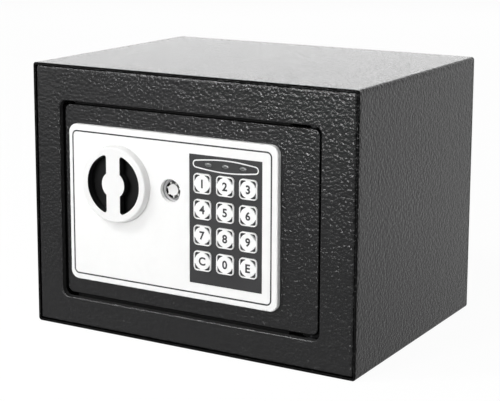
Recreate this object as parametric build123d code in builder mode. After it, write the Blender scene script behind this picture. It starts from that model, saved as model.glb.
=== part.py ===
from build123d import *
from math import sin, cos, radians
import os

os.makedirs("parts", exist_ok=True)

# A small steel security safe: a wrapped sheet cabinet, a recessed door with a white control
# panel, a keypad, a turning knob that throws two bolts, and a tubular override key lock.
# Millimetres. X is the width, Y runs from the front to the back, and Z is up.
# The origin is the middle of the cabinet's underside.

# Clearances shared by all pieces
weld_gap = 0.1        # between sheets that are welded at their edges
bore_gap = 0.05       # round a pin or shaft that turns or slides in its hole, on the radius
fit_gap = 0.1         # round a piece that is set in another one of its own assembly
move_gap = 0.3        # between pieces that move past each other

# Cabinet
width = 230.0
depth = 170.0
height = 170.0
sheet = 1.5
inside_bend = 0.5
back_sheet = 2.0
anchor_hole_d = 10.0
anchor_spacing = 120.0
back_anchor_z = 110.0
mat_t = 2.0
mat_inset = 1.0

# Front frame and its opening
margin_left = 19.8
margin_right = 23.9
margin_top = 22.8
margin_bottom = 19.6
opening_radius = 5.0
opening_edge = 0.8
lip_depth = 4.0
frame_return = 12.0

# Door
door_gap = 2.2
door_recess = 3.0
door_t = 3.0
door_edge = 0.8
stop_t = 2.0
stop_lap = 1.8
stop_leg = 12.0
stop_inset = 8.0

# Hinge
pin_d = 6.0
hinge_inset = 6.0
hinge_block_w = 11.0
hinge_block_t = 9.0
hinge_block_h = 20.0
hinge_block_top_gap = 1.0
bracket_t = 3.0
bracket_flange_t = 2.0
bracket_flange_h = 13.0
bracket_w = 26.0
bracket_depth = 15.5
pin_beyond = 2.0
block_lift = 0.5
washer_d = 9.0

# Control panel
panel_t = 3.2
panel_radius = 5.5
panel_edge = 0.8
panel_from_left = 5.3
panel_from_right = 25.7
panel_from_bottom = 11.0
panel_from_top = 11.9
panel_screw_d = 2.5
panel_screw_head_d = 5.6
panel_screw_head_t = 1.8
panel_screw_bite = 2.2
panel_screw_in = 5.8
panel_screw_left = 21.7
panel_screw_low = 6.7
panel_screw_right_dz = 30.0

# Keypad
keypad_from_right = 10.55
keypad_from_bottom = 10.2
keypad_from_top = 10.4
keypad_side = 1.325
keypad_corner = 0.1
keypad_recess = 0.2
keypad_t = 2.0
keypad_flange = 1.95
keypad_lip = 0.9
keypad_wall = 2.95
post_d = 3.2
post_in = 4.95
post_low = 3.4
post_high = 4.2
key_columns = 3
key_rows = 4
key_spacing = 3.6
key_low = 6.35
lamp_band = 9.55
key_radius = 2.5
key_edge = 0.5
key_proud = 0.6
key_gap = 0.15
key_flange = 0.8
key_flange_t = 0.8
key_travel = 0.8
key_mat_t = 1.0
key_mat_in = 2.0
board_t = 1.6
keypad_screw_d = 1.8
keypad_screw_head_d = 3.4
keypad_screw_head_t = 1.2
keypad_screw_bite = 1.6
lamp_pitch = 12.1
lamp_w = 5.0
lamp_h = 2.3
lamp_low = 5.7
lamp_proud = 0.3

# Knob
knob_from_left = 36.8
knob_from_top = 34.95
knob_base_d = 49.0
knob_face_d = 47.2
knob_proud = 4.8
knob_edge = 1.0
knob_well_r = 19.3
knob_bar_w = 10.2
knob_hub_d = 16.9
knob_well_tip = 1.5
knob_well_edge = 0.35
knob_cup_wall = 1.7
knob_cup_floor = 1.2
knob_boss_r = 8.0
knob_throw = 70.0
spindle_d = 8.0
bush_wall = 2.0
bush_flange_w = 2.0
bush_flange_t = 1.2
cam_t = 3.0
cam_rim = 1.5
crank_r = 9.0
crank_pin_d = 5.0
crank_play = 0.25
clip_t = 0.8
clip_w = 2.0
clip_groove = 0.6
spindle_end = 1.0

# Bolt work
bolt_d = 12.0
bolt_from_top = 33.0
bolt_from_bottom = 34.2
bolt_tip_gap = 2.2
bolt_chamfer = 1.0
bolt_joint = 8.0
bolt_behind_stop = 0.7
carriage_t = 2.0
carriage_w = 34.0
carriage_low = 6.0
carriage_high = 12.0
slot_end_play = 0.6
stud_d = 5.0
stud_collar_d = 8.0
stud_head_d = 9.0
stud_head_t = 1.5
stud_from_joint = 6.0
stud_upper_dz = 6.0
stud_lower_dz = 4.0
guide_t = 2.0
guide_inset = 4.0
guide_foot = 8.0
guide_margin = 3.0
guide_reach = 17.0

# Override key lock
lock_from_left = 76.1
lock_hole_d = 14.5
lock_face_recess = 3.15
lock_flange_d = 18.0
lock_flange_t = 1.1
lock_body_d = 16.0
lock_length = 20.0
lock_collar_d = 13.5
keyway_outer_d = 10.3
keyway_inner_d = 7.2
keyway_depth = 6.0
keyway_notch_w = 1.8
keyway_notch_h = 1.0
lock_pin_d = 1.2
lock_pin_count = 7
lock_pin_recess = 0.6
nut_flats = 19.0
nut_t = 3.0
lock_tail_d = 6.0
lobe_w = 8.0
lobe_r = 14.0
lobe_t = 2.0
lobe_gap = 0.5
tail_beyond = 1.5

# Solenoid
plunger_from_lock = 12.4
plunger_d = 5.0
plunger_travel = 3.0
plunger_in_coil = 8.0
plunger_tip_drop = 10.5
plunger_setback = 14.0
lift_plate_w = 8.5
lift_plate_t = 1.5
lift_plate_side = 4.0
lift_plate_front = 4.0
lift_plate_back = 6.0
spring_room = 4.0
spring_d = 8.0
spring_wire = 0.5
spring_turns = 5
solenoid_w = 16.0
solenoid_h = 20.0
solenoid_back = 7.0
solenoid_wall = 2.0
coil_d = 11.8
tooth_w = 4.0
tooth_clear = 0.6
tooth_gap = 0.65
tooth_h = 11.4
arm_h = 8.0

# Electronics behind the door
main_board_w = 30.0
main_board_below_lock = 20.15
main_board_x = 8.6
main_board_low = 6.0
board_stand = 4.0
standoff_d = 4.0
standoff_inset = 3.0
ribbon_w = 12.0
ribbon_t = 0.6
ribbon_from_top = 5.0
ribbon_in = 6.0
ribbon_bend = 0.8
parts_margin = 2.0
chip_w = 8.0
chip_t = 1.6
capacitor_d = 6.0
capacitor_h = 9.0
buzzer_d = 9.0
buzzer_h = 5.0
switch_w = 6.0
switch_h = 4.0
reset_from_board = 13.0
reset_low = 6.0

# Batteries
cell_d = 14.2
cell_length = 50.5
cell_pitch = 14.6
cell_count = 4
cell_nub_d = 5.2
cell_nub_h = 1.2
cell_end_room = 4.0
tray_wall = 1.2
tray_right_gap = 6.5
tray_from_top = 14.6

# Inner cover on the back of the door
cover_left_in = 9.0
cover_right_in = 20.9
cover_low_in = 12.2
cover_top_in = 12.0
cover_depth = 28.0
cover_wall = 1.5
cover_radius = 4.0
cover_edge = 1.0
cover_post_d = 5.0
cover_post_in = 6.0
cover_screw_d = 3.0
cover_screw_bite = 8.0
cover_screw_head_d = 6.0
cover_screw_head_t = 1.8
reset_d = 6.0
reset_proud = 1.0
reset_travel = 1.0
reset_collar_d = 9.0
reset_collar_t = 1.5

# Places worked out from the sizes
left, right = -width / 2, width / 2
front, back = -depth / 2, depth / 2
frame_back = front + sheet
opening_left = left + margin_left
opening_right = right - margin_right
opening_bottom = margin_bottom
opening_top = height - margin_top
opening_w = opening_right - opening_left
opening_h = opening_top - opening_bottom
opening_x = (opening_left + opening_right) / 2
opening_z = (opening_bottom + opening_top) / 2

door_left = opening_left + door_gap
door_right = opening_right - door_gap
door_bottom = opening_bottom + door_gap
door_top = opening_top - door_gap
door_front = front + door_recess
door_back = door_front + door_t
stop_front = door_back + move_gap
stop_back = stop_front + stop_t
stop_in = door_gap + stop_lap

hinge_x = door_right - hinge_inset
hinge_y = door_back + pin_d / 2
pin_r = pin_d / 2
top_bracket_z = opening_top + sheet + move_gap
bottom_bracket_z = opening_bottom - sheet - move_gap

panel_left = door_left + panel_from_left
panel_right = door_right - panel_from_right
panel_bottom = door_bottom + panel_from_bottom
panel_top = door_top - panel_from_top
panel_w = panel_right - panel_left
panel_h = panel_top - panel_bottom
panel_x = (panel_left + panel_right) / 2
panel_z = (panel_bottom + panel_top) / 2
panel_front = door_front - panel_t

keypad_bottom = panel_bottom + keypad_from_bottom
keypad_top = panel_top - keypad_from_top
keypad_h = keypad_top - keypad_bottom
key_pitch = (keypad_h - key_low - lamp_band) / key_rows
key_size = key_pitch - key_spacing
keypad_w = key_columns * key_pitch + 2 * keypad_side
keypad_right = panel_right - keypad_from_right
keypad_x = keypad_right - keypad_w / 2
keypad_z = (keypad_bottom + keypad_top) / 2
keypad_front = panel_front + keypad_recess
keypad_back = keypad_front + keypad_t
key_front = panel_front - key_proud
key_flange_front = keypad_back + fit_gap
key_back = key_flange_front + key_flange_t
mat_front = key_back + key_travel + fit_gap
mat_back = mat_front + key_mat_t
board_back = mat_back + board_t
board_w = keypad_w - 2 * fit_gap
board_h = keypad_h - 2 * fit_gap
flange_w = keypad_w + 2 * keypad_flange
flange_h = keypad_h + 2 * keypad_flange

knob_x = panel_left + knob_from_left
knob_z = panel_top - knob_from_top
knob_front = panel_front - knob_proud
knob_back = panel_front - move_gap
cup_back = door_front - move_gap
cup_r = knob_well_r + knob_cup_wall
bush_r = spindle_d / 2 + bore_gap + bush_wall
cam_front = door_back + bush_flange_t + 2 * bore_gap + move_gap
cam_back = cam_front + cam_t
clip_front = cam_back + bore_gap
spindle_back = clip_front + clip_t + spindle_end
cam_r = crank_r + crank_pin_d / 2 + cam_rim
half_throw = radians(knob_throw / 2)
crank_dx = crank_r * sin(half_throw)
crank_low = crank_r * cos(half_throw)
bolt_travel = 2 * crank_dx

bolt_y = stop_back + bolt_behind_stop + bolt_d / 2
bolt_tip = opening_left + stop_in + bolt_tip_gap
bolt_zs = [door_bottom + bolt_from_bottom, door_top - bolt_from_top]
carriage_front = bolt_y - carriage_t / 2
carriage_back = bolt_y + carriage_t / 2
guide_left = door_left + cover_left_in + guide_inset
guide_right = guide_left + guide_t
carriage_left = guide_right + bolt_travel + move_gap
bolt_end = carriage_left + bolt_joint
carriage_right = carriage_left + carriage_w
carriage_bottom = bolt_zs[0] - carriage_low
carriage_top = bolt_zs[1] + carriage_high

lock_x = panel_left + lock_from_left
lock_z = knob_z
lock_front = panel_front + lock_face_recess
lock_back = lock_front + lock_length
lock_r = lock_body_d / 2
lobe_front = lock_back + lobe_gap
lobe_back = lobe_front + lobe_t

plunger_x = lock_x - plunger_from_lock
plunger_y = door_back + plunger_setback
lift_bottom = lock_z + lobe_w / 2 + move_gap
solenoid_bottom = lift_bottom + lift_plate_t + spring_room
solenoid_back_y = plunger_y + solenoid_back
tip_z = lift_bottom - plunger_tip_drop
tooth_top = tip_z - tooth_clear
tooth_left = plunger_x + plunger_d / 2 + tooth_gap
tooth_back = lobe_front - lobe_gap - bore_gap

cover_left = door_left + cover_left_in
cover_right = door_right - cover_right_in
cover_bottom = door_bottom + cover_low_in
cover_top = door_top - cover_top_in
cover_x = (cover_left + cover_right) / 2
cover_z = (cover_bottom + cover_top) / 2
cover_back = door_back + cover_depth
cover_inner = cover_back - cover_wall
cover_posts = [
    (cover_left + cover_post_in, cover_bottom + cover_post_in),
    (cover_right - cover_post_in, cover_bottom + cover_post_in),
    (cover_left + cover_post_in, cover_top - cover_post_in),
    (cover_right - cover_post_in, cover_top - cover_post_in),
]

tray_w = cell_pitch * cell_count + 2 * tray_wall
tray_h = cell_length + cell_end_room + 2 * tray_wall
tray_x = cover_right - tray_right_gap - tray_w / 2
tray_z = cover_top - tray_from_top - tray_h / 2
tray_back = cover_inner - fit_gap
cell_y = tray_back - cell_d / 2 - tray_wall
tray_front = cell_y - cell_d / 2 - fit_gap - tray_wall


def facing(y):
    """Upright plane at depth y: its own x is the width, its own y the height, it faces the front."""
    return Plane.XZ.offset(-y)


def boxed(x0, x1, y0, y1, z0, z1):
    """Block between two corners, added to the piece that is being made."""
    with Locations(((x0 + x1) / 2, (y0 + y1) / 2, (z0 + z1) / 2)):
        Box(abs(x1 - x0), abs(y1 - y0), abs(z1 - z0))


def cut_box(x0, x1, y0, y1, z0, z1):
    """Block between two corners, taken out of the piece that is being made."""
    with Locations(((x0 + x1) / 2, (y0 + y1) / 2, (z0 + z1) / 2)):
        Box(abs(x1 - x0), abs(y1 - y0), abs(z1 - z0), mode=Mode.SUBTRACT)


def rod(points, radius, y_front, y_back, mode=Mode.ADD):
    """Round rods, or holes, that run from front to back at the given places."""
    with BuildSketch(facing(y_back)) as section:
        with Locations(*points):
            Circle(radius)
    extrude(section.sketch, amount=y_back - y_front, mode=mode)


def plate(x, z, w, h, radius, y_front, y_back, mode=Mode.ADD):
    """Upright plate, or opening, with rounded corners and the given middle."""
    with BuildSketch(facing(y_back)) as section:
        with Locations((x, z)):
            RectangleRounded(w, h, radius)
    extrude(section.sketch, amount=y_back - y_front, mode=mode)


def front_rim(piece):
    """Edges round the front face of a piece."""
    return piece.faces().sort_by(Axis.Y)[0].outer_wire().edges()


# Cabinet: the wrapped sheet, open at the front and the back, with two anchor holes in its floor
outside_bend = inside_bend + sheet
anchors = [(-anchor_spacing / 2, 0), (anchor_spacing / 2, 0)]
with BuildPart() as body_shell:
    plate(0, height / 2, width, height, outside_bend, front, back)
    inner_w = width - 2 * sheet
    inner_h = height - 2 * sheet
    plate(0, height / 2, inner_w, inner_h, inside_bend, front, back, Mode.SUBTRACT)
    with BuildSketch(Plane.XY):
        with Locations(*anchors):
            Circle(anchor_hole_d / 2)
    extrude(amount=sheet, mode=Mode.SUBTRACT)
body_shell.part.label = "body_shell"
export_step(body_shell.part, "parts/body_shell.step")

# Rear wall, welded inside the shell, with two anchor holes
with BuildPart() as back_panel:
    rear_w = inner_w - 2 * weld_gap
    rear_h = inner_h - 2 * weld_gap
    plate(0, height / 2, rear_w, rear_h, inside_bend, back - back_sheet, back)
    wall_anchors = [(x, back_anchor_z) for x, y in anchors]
    rod(wall_anchors, anchor_hole_d / 2, back - back_sheet, back, Mode.SUBTRACT)
back_panel.part.label = "back_panel"
export_step(back_panel.part, "parts/back_panel.step")

# Front frame: a pressed pan with its outer edge and the lip of its opening bent back
with BuildPart() as front_frame:
    frame_w = inner_w - 2 * weld_gap
    frame_h = inner_h - 2 * weld_gap
    return_back = front + frame_return
    plate(0, height / 2, frame_w, frame_h, outside_bend, front, return_back)
    hollow_w = frame_w - 2 * sheet
    hollow_h = frame_h - 2 * sheet
    plate(0, height / 2, hollow_w, hollow_h, inside_bend, frame_back, return_back, Mode.SUBTRACT)
    lip_w = opening_w + 2 * sheet
    lip_h = opening_h + 2 * sheet
    lip_radius = opening_radius + sheet
    plate(opening_x, opening_z, lip_w, lip_h, lip_radius, front, front + lip_depth)
    plate(opening_x, opening_z, opening_w, opening_h, opening_radius,
          front, front + lip_depth, Mode.SUBTRACT)
    frame_front_face = front_frame.faces().sort_by(Axis.Y)[0]
    opening_rim = [edge for wire in frame_front_face.inner_wires() for edge in wire.edges()]
    fillet(opening_rim, radius=opening_edge)
    fillet(front_rim(front_frame), radius=outside_bend)
front_frame.part.label = "front_frame"
export_step(front_frame.part, "parts/front_frame.step")

# Strike rail: the angle behind the latch side of the frame, which stops the door and holds the bolts
strike_in = opening_left + stop_in
strike_out = opening_left - stop_leg
with BuildPart() as strike_rail:
    strike_low = opening_bottom + stop_in
    strike_high = opening_top - stop_in
    boxed(strike_out, strike_in, stop_front, stop_back, strike_low, strike_high)
    boxed(strike_out, strike_out + stop_t, frame_back, stop_front, strike_low, strike_high)
strike_rail.part.label = "strike_rail"
export_step(strike_rail.part, "parts/strike_rail.step")

# Door stops: angles behind the top and the bottom of the frame, clear of the hinge
stop_left = opening_left + stop_inset
stop_right = hinge_x - bracket_w / 2 - stop_t
with BuildPart() as door_stops:
    top_out = opening_top + stop_leg
    boxed(stop_left, stop_right, stop_front, stop_back, opening_top - stop_in, top_out)
    boxed(stop_left, stop_right, frame_back, stop_front, top_out - stop_t, top_out)
    bottom_out = opening_bottom - stop_leg
    boxed(stop_left, stop_right, stop_front, stop_back, bottom_out, opening_bottom + stop_in)
    boxed(stop_left, stop_right, frame_back, stop_front, bottom_out, bottom_out + stop_t)
door_stops.part.label = "door_stops"
export_step(door_stops.part, "parts/door_stops.step")

# Hinge brackets: two angles welded behind the frame, each bored for its hinge pin
with BuildPart() as hinge_brackets:
    bracket_left = hinge_x - bracket_w / 2
    bracket_right = hinge_x + bracket_w / 2
    bracket_back = frame_back + bracket_depth
    flange_back = frame_back + bracket_flange_t
    for inner_face, sign in [(top_bracket_z, 1), (bottom_bracket_z, -1)]:
        outer_face = inner_face + sign * bracket_t
        boxed(bracket_left, bracket_right, frame_back, bracket_back, inner_face, outer_face)
        flange_end = inner_face + sign * bracket_flange_h
        boxed(bracket_left, bracket_right, frame_back, flange_back, outer_face, flange_end)
    with BuildSketch(Plane.XY.offset(bottom_bracket_z - bracket_t)):
        with Locations((hinge_x, hinge_y)):
            Circle(pin_r + bore_gap)
    extrude(amount=top_bracket_z - bottom_bracket_z + 2 * bracket_t, mode=Mode.SUBTRACT)
hinge_brackets.part.label = "hinge_brackets"
export_step(hinge_brackets.part, "parts/hinge_brackets.step")

# Hinge washer: the thin steel ring that the door's lower hinge block turns on
block_bottom = opening_bottom + block_lift
with BuildPart() as hinge_washer:
    with BuildSketch(Plane.XY.offset(bottom_bracket_z + fit_gap)):
        with Locations((hinge_x, hinge_y)):
            Circle(washer_d / 2)
            Circle(pin_r + fit_gap, mode=Mode.SUBTRACT)
    extrude(amount=block_bottom - bottom_bracket_z - 2 * fit_gap)
hinge_washer.part.label = "hinge_washer"
export_step(hinge_washer.part, "parts/hinge_washer.step")

# Floor mat: a cut felt sheet on the cabinet's floor, holed over the anchor holes
with BuildPart() as floor_mat:
    mat_start = front + frame_return + mat_inset
    mat_end = back - back_sheet - mat_inset
    mat_w = inner_w - 2 * mat_inset
    with BuildSketch(Plane.XY.offset(sheet)):
        with Locations((0, (mat_start + mat_end) / 2)):
            Rectangle(mat_w, mat_end - mat_start)
        with Locations(*anchors):
            Circle(anchor_hole_d / 2 + mat_inset, mode=Mode.SUBTRACT)
    extrude(amount=mat_t)
floor_mat.part.label = "floor_mat"
export_step(floor_mat.part, "parts/floor_mat.step")

# Door plate, with holes for the knob spindle, the lock, the keypad and the panel screws
panel_screws_at = [
    (panel_left + panel_screw_left, panel_bottom + panel_screw_low),
    (panel_left + panel_screw_left, panel_top - panel_screw_low),
    (panel_right - panel_screw_in, panel_z - panel_screw_right_dz),
    (panel_right - panel_screw_in, panel_z + panel_screw_right_dz),
]
with BuildPart() as door_plate:
    door_w = door_right - door_left
    door_h = door_top - door_bottom
    door_x = (door_left + door_right) / 2
    door_z = (door_bottom + door_top) / 2
    door_radius = opening_radius
    plate(door_x, door_z, door_w, door_h, door_radius, door_front, door_back)
    fillet(front_rim(door_plate), radius=door_edge)
    cutout_w = board_w + 4 * move_gap
    cutout_h = board_h + 4 * move_gap
    plate(keypad_x, keypad_z, cutout_w, cutout_h, door_edge, door_front, door_back, Mode.SUBTRACT)
    rod([(knob_x, knob_z)], bush_r + fit_gap, door_front, door_back, Mode.SUBTRACT)
    rod([(lock_x, lock_z)], lock_r + fit_gap, door_front, door_back, Mode.SUBTRACT)
    lock_seat = lock_front + lock_flange_t
    rod([(lock_x, lock_z)], lock_flange_d / 2 + fit_gap, door_front, lock_seat, Mode.SUBTRACT)
    rod(panel_screws_at, panel_screw_d / 2 + move_gap, door_front, door_back, Mode.SUBTRACT)
door_plate.part.label = "door_plate"
export_step(door_plate.part, "parts/door_plate.step")

# Hinge blocks: two steel blocks welded behind the hinge edge of the door, bored for the pins
top_block_z = door_top - hinge_block_top_gap
block_spans = [(top_block_z - hinge_block_h, top_block_z), (block_bottom, block_bottom + hinge_block_h)]
with BuildPart() as hinge_blocks:
    for low, high in block_spans:
        block_left = hinge_x - hinge_block_w / 2
        block_right = hinge_x + hinge_block_w / 2
        boxed(block_left, block_right, door_back, door_back + hinge_block_t, low, high)
        with BuildSketch(Plane.XY.offset(low)):
            with Locations((hinge_x, hinge_y + fit_gap)):
                Circle(pin_r + 2 * fit_gap)
        extrude(amount=high - low, mode=Mode.SUBTRACT)
hinge_blocks.part.label = "hinge_blocks"
export_step(hinge_blocks.part, "parts/hinge_blocks.step")

# Hinge pins, pressed in the blocks and turning in the cabinet's brackets
pin_spans = [
    (block_spans[0][0], top_bracket_z + bracket_t + pin_beyond),
    (bottom_bracket_z - bracket_t - pin_beyond, block_spans[1][1]),
]
with BuildPart() as hinge_pins:
    for low, high in pin_spans:
        with BuildSketch(Plane.XY.offset(low)):
            with Locations((hinge_x, hinge_y)):
                Circle(pin_r)
        extrude(amount=high - low)
hinge_pins.part.label = "hinge_pins"
export_step(hinge_pins.part, "parts/hinge_pins.step")

# Control panel: the white moulded plate on the front of the door
with BuildPart() as control_panel:
    plate(panel_x, panel_z, panel_w, panel_h, panel_radius, panel_front, door_front)
    fillet(front_rim(control_panel), radius=panel_edge)
    window_w = keypad_w + 2 * fit_gap
    window_h = keypad_h + 2 * fit_gap
    plate(keypad_x, keypad_z, window_w, window_h, keypad_corner, panel_front, door_front, Mode.SUBTRACT)
    pocket_w = flange_w + 2 * fit_gap
    pocket_h = flange_h + 2 * fit_gap
    pocket_front = panel_front + keypad_lip + fit_gap
    plate(keypad_x, keypad_z, pocket_w, pocket_h, keypad_corner, pocket_front, door_front, Mode.SUBTRACT)
    rod([(knob_x, knob_z)], cup_r + move_gap, panel_front, door_front, Mode.SUBTRACT)
    rod([(lock_x, lock_z)], lock_hole_d / 2, panel_front, door_front, Mode.SUBTRACT)
    bite_front = door_front - panel_screw_bite
    rod(panel_screws_at, panel_screw_d / 2 + bore_gap, bite_front, door_front, Mode.SUBTRACT)
control_panel.part.label = "control_panel"
export_step(control_panel.part, "parts/control_panel.step")

# Screws that hold the panel from behind the door plate
with BuildPart() as panel_screws:
    rod(panel_screws_at, panel_screw_d / 2, bite_front + bore_gap, door_back)
    rod(panel_screws_at, panel_screw_head_d / 2, door_back, door_back + panel_screw_head_t)
panel_screws.part.label = "panel_screws"
export_step(panel_screws.part, "parts/panel_screws.step")

# Keypad plate: the dark moulding that guides the keys, set in the panel from behind
first_column = keypad_x - key_pitch * (key_columns - 1) / 2
first_row = keypad_bottom + key_low + key_pitch / 2
key_places = [
    (first_column + column * key_pitch, first_row + row * key_pitch)
    for row in reversed(range(key_rows))
    for column in range(key_columns)
]
posts_at = [
    (keypad_x + side * (keypad_w / 2 - post_in), z)
    for side in (-1, 1)
    for z in (keypad_top - post_high, keypad_bottom + post_low)
]
lamp_z = keypad_top - lamp_low
lamps_at = [(keypad_x + side * lamp_pitch, lamp_z) for side in (-1, 0, 1)]
with BuildPart() as keypad_plate:
    plate(keypad_x, keypad_z, keypad_w, keypad_h, keypad_corner, keypad_front, keypad_back)
    flange_front = pocket_front + bore_gap
    plate(keypad_x, keypad_z, flange_w, flange_h, keypad_corner, flange_front, door_front - bore_gap)
    hollow_w = flange_w - 2 * keypad_wall
    hollow_h = flange_h - 2 * keypad_wall
    plate(keypad_x, keypad_z, hollow_w, hollow_h, keypad_corner, keypad_back, door_front, Mode.SUBTRACT)
    rod(posts_at, post_d / 2, keypad_back, mat_back)
    screw_front = board_back - board_t - keypad_screw_bite
    rod(posts_at, keypad_screw_d / 2 + bore_gap, screw_front, mat_back, Mode.SUBTRACT)
    with BuildSketch(facing(keypad_back)):
        with Locations(*key_places):
            RectangleRounded(key_size + 2 * key_gap, key_size + 2 * key_gap, key_radius + key_gap)
        with Locations(*lamps_at):
            SlotOverall(lamp_w + 2 * fit_gap, lamp_h + 2 * fit_gap)
    extrude(amount=keypad_t, mode=Mode.SUBTRACT)
keypad_plate.part.label = "keypad_plate"
export_step(keypad_plate.part, "parts/keypad_plate.step")

# Keys: twelve capped buttons, each with a flange that keeps it behind the keypad plate
key_names = ["1", "2", "3", "4", "5", "6", "7", "8", "9", "clear", "0", "enter"]
for key_name, (key_x, key_middle) in zip(key_names, key_places):
    with BuildPart() as key:
        plate(key_x, key_middle, key_size, key_size, key_radius, key_front, key_back)
        fillet(front_rim(key), radius=key_edge)
        key_foot = key_size + 2 * key_flange
        plate(key_x, key_middle, key_foot, key_foot, key_radius, key_flange_front, key_back)
    key.part.label = f"key_{key_name}"
    export_step(key.part, f"parts/key_{key_name}.step")

# Key mat: the silicone sheet that the keys press
with BuildPart() as key_mat:
    key_mat_w = board_w - 2 * key_mat_in
    key_mat_h = board_h - 2 * key_mat_in
    plate(keypad_x, keypad_z, key_mat_w, key_mat_h, keypad_corner, mat_front, mat_back)
    rod(posts_at, post_d / 2 + fit_gap, mat_front, mat_back, Mode.SUBTRACT)
    with BuildSketch(facing(mat_back)):
        with Locations(*lamps_at):
            SlotOverall(lamp_w + 2 * fit_gap, lamp_h + 2 * fit_gap)
    extrude(amount=key_mat_t, mode=Mode.SUBTRACT)
key_mat.part.label = "key_mat"
export_step(key_mat.part, "parts/key_mat.step")

# Keypad board, with the key contacts, screwed to the posts of the keypad plate
with BuildPart() as keypad_board:
    plate(keypad_x, keypad_z, board_w, board_h, keypad_corner, mat_back, board_back)
    rod(posts_at, keypad_screw_d / 2 + bore_gap, mat_back, board_back, Mode.SUBTRACT)
keypad_board.part.label = "keypad_board"
export_step(keypad_board.part, "parts/keypad_board.step")

# Screws of the keypad board
with BuildPart() as keypad_screws:
    rod(posts_at, keypad_screw_d / 2, screw_front + bore_gap, board_back)
    rod(posts_at, keypad_screw_head_d / 2, board_back, board_back + keypad_screw_head_t)
keypad_screws.part.label = "keypad_screws"
export_step(keypad_screws.part, "parts/keypad_screws.step")

# Indicator lamps: three oval lenses that stand on the board and show through the keypad plate
with BuildPart() as indicator_lamps:
    with BuildSketch(facing(mat_back)):
        with Locations(*lamps_at):
            SlotOverall(lamp_w, lamp_h)
    extrude(amount=mat_back - keypad_front + lamp_proud)
indicator_lamps.part.label = "indicator_lamps"
export_step(indicator_lamps.part, "parts/indicator_lamps.step")

# Knob face: the white moulded ring, bar and hub, open at two crescent finger wells
knob_at = [(knob_x, knob_z)]
with BuildPart() as knob_face:
    with BuildSketch(facing(knob_back)):
        with Locations(*knob_at):
            Circle(knob_base_d / 2)
    with BuildSketch(facing(knob_front)):
        with Locations(*knob_at):
            Circle(knob_face_d / 2)
    loft()
    with BuildSketch(facing(knob_back)) as wells:
        with Locations(*knob_at):
            Circle(knob_well_r)
            Rectangle(knob_bar_w, 2 * knob_base_d, mode=Mode.SUBTRACT)
            Circle(knob_hub_d / 2, mode=Mode.SUBTRACT)
        corners = wells.vertices().group_by(Axis.Y)
        fillet(corners[0] + corners[-1], radius=knob_well_tip)
    extrude(amount=knob_back - knob_front, mode=Mode.SUBTRACT)
    knob_front_face = knob_face.faces().sort_by(Axis.Y)[0]
    well_rims = [edge for wire in knob_front_face.inner_wires() for edge in wire.edges()]
    fillet(well_rims, radius=knob_well_edge)
    fillet(front_rim(knob_face), radius=knob_edge)
knob_face.part.label = "knob_face"
export_step(knob_face.part, "parts/knob_face.step")

# Knob cup: the black dish behind the face, which closes the finger wells
with BuildPart() as knob_cup:
    rod(knob_at, cup_r, knob_back, cup_back)
    with BuildSketch(facing(cup_back - knob_cup_floor)):
        with Locations(*knob_at):
            Circle(knob_well_r)
            Circle(knob_boss_r, mode=Mode.SUBTRACT)
    extrude(amount=cup_back - knob_cup_floor - knob_back, mode=Mode.SUBTRACT)
knob_cup.part.label = "knob_cup"
export_step(knob_cup.part, "parts/knob_cup.step")

# Knob spindle, grooved at its end for the clip
with BuildPart() as knob_spindle:
    rod(knob_at, spindle_d / 2, cup_back, spindle_back)
    with BuildSketch(facing(clip_front + clip_t + bore_gap)):
        with Locations(*knob_at):
            Circle(spindle_d)
            Circle(spindle_d / 2 - clip_groove, mode=Mode.SUBTRACT)
    extrude(amount=clip_t + 2 * bore_gap, mode=Mode.SUBTRACT)
knob_spindle.part.label = "knob_spindle"
export_step(knob_spindle.part, "parts/knob_spindle.step")

# Bush that carries the spindle in the door plate
with BuildPart() as knob_bush:
    rod(knob_at, bush_r, door_front + fit_gap, door_back)
    rod(knob_at, bush_r + bush_flange_w, door_back, door_back + bush_flange_t)
    bush_end = door_back + bush_flange_t
    rod(knob_at, spindle_d / 2 + bore_gap, door_front, bush_end, Mode.SUBTRACT)
knob_bush.part.label = "knob_bush"
export_step(knob_bush.part, "parts/knob_bush.step")

# Knob cam: the disc on the spindle whose crank pin drives the bolt carriage
crank_at = [(knob_x + crank_dx, knob_z + crank_low)]
with BuildPart() as knob_cam:
    rod(knob_at, cam_r, cam_front, cam_back)
    rod(knob_at, spindle_d / 2 + bore_gap, cam_front, cam_back, Mode.SUBTRACT)
    rod(crank_at, crank_pin_d / 2, cam_back, carriage_back + move_gap)
knob_cam.part.label = "knob_cam"
export_step(knob_cam.part, "parts/knob_cam.step")

# Clip that keeps the cam on the spindle
with BuildPart() as spindle_clip:
    clip_back = clip_front + clip_t
    rod(knob_at, spindle_d / 2 + clip_w, clip_front, clip_back)
    rod(knob_at, spindle_d / 2 - clip_groove + bore_gap, clip_front, clip_back, Mode.SUBTRACT)
    slot_half = spindle_d / 2 - clip_groove - bore_gap
    clip_low = knob_z - spindle_d
    cut_box(knob_x - slot_half, knob_x + slot_half, clip_front, clip_back, clip_low, knob_z)
spindle_clip.part.label = "spindle_clip"
export_step(spindle_clip.part, "parts/spindle_clip.step")

# Locking bolts: two round steel bars, drawn back in the door, slotted for the carriage
with BuildPart() as locking_bolts:
    for z in bolt_zs:
        with BuildSketch(Plane.YZ.offset(bolt_tip)):
            with Locations((bolt_y, z)):
                Circle(bolt_d / 2)
        extrude(amount=bolt_end - bolt_tip)
    tips = locking_bolts.faces().filter_by(Axis.X).group_by(Axis.X)[0]
    chamfer(tips.edges(), length=bolt_chamfer)
    for z in bolt_zs:
        slot_front = carriage_front - bore_gap
        slot_back = carriage_back + bore_gap
        cut_box(carriage_left - bore_gap, bolt_end, slot_front, slot_back, z - bolt_d, z + bolt_d)
locking_bolts.part.label = "locking_bolts"
export_step(locking_bolts.part, "parts/locking_bolts.step")

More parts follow.
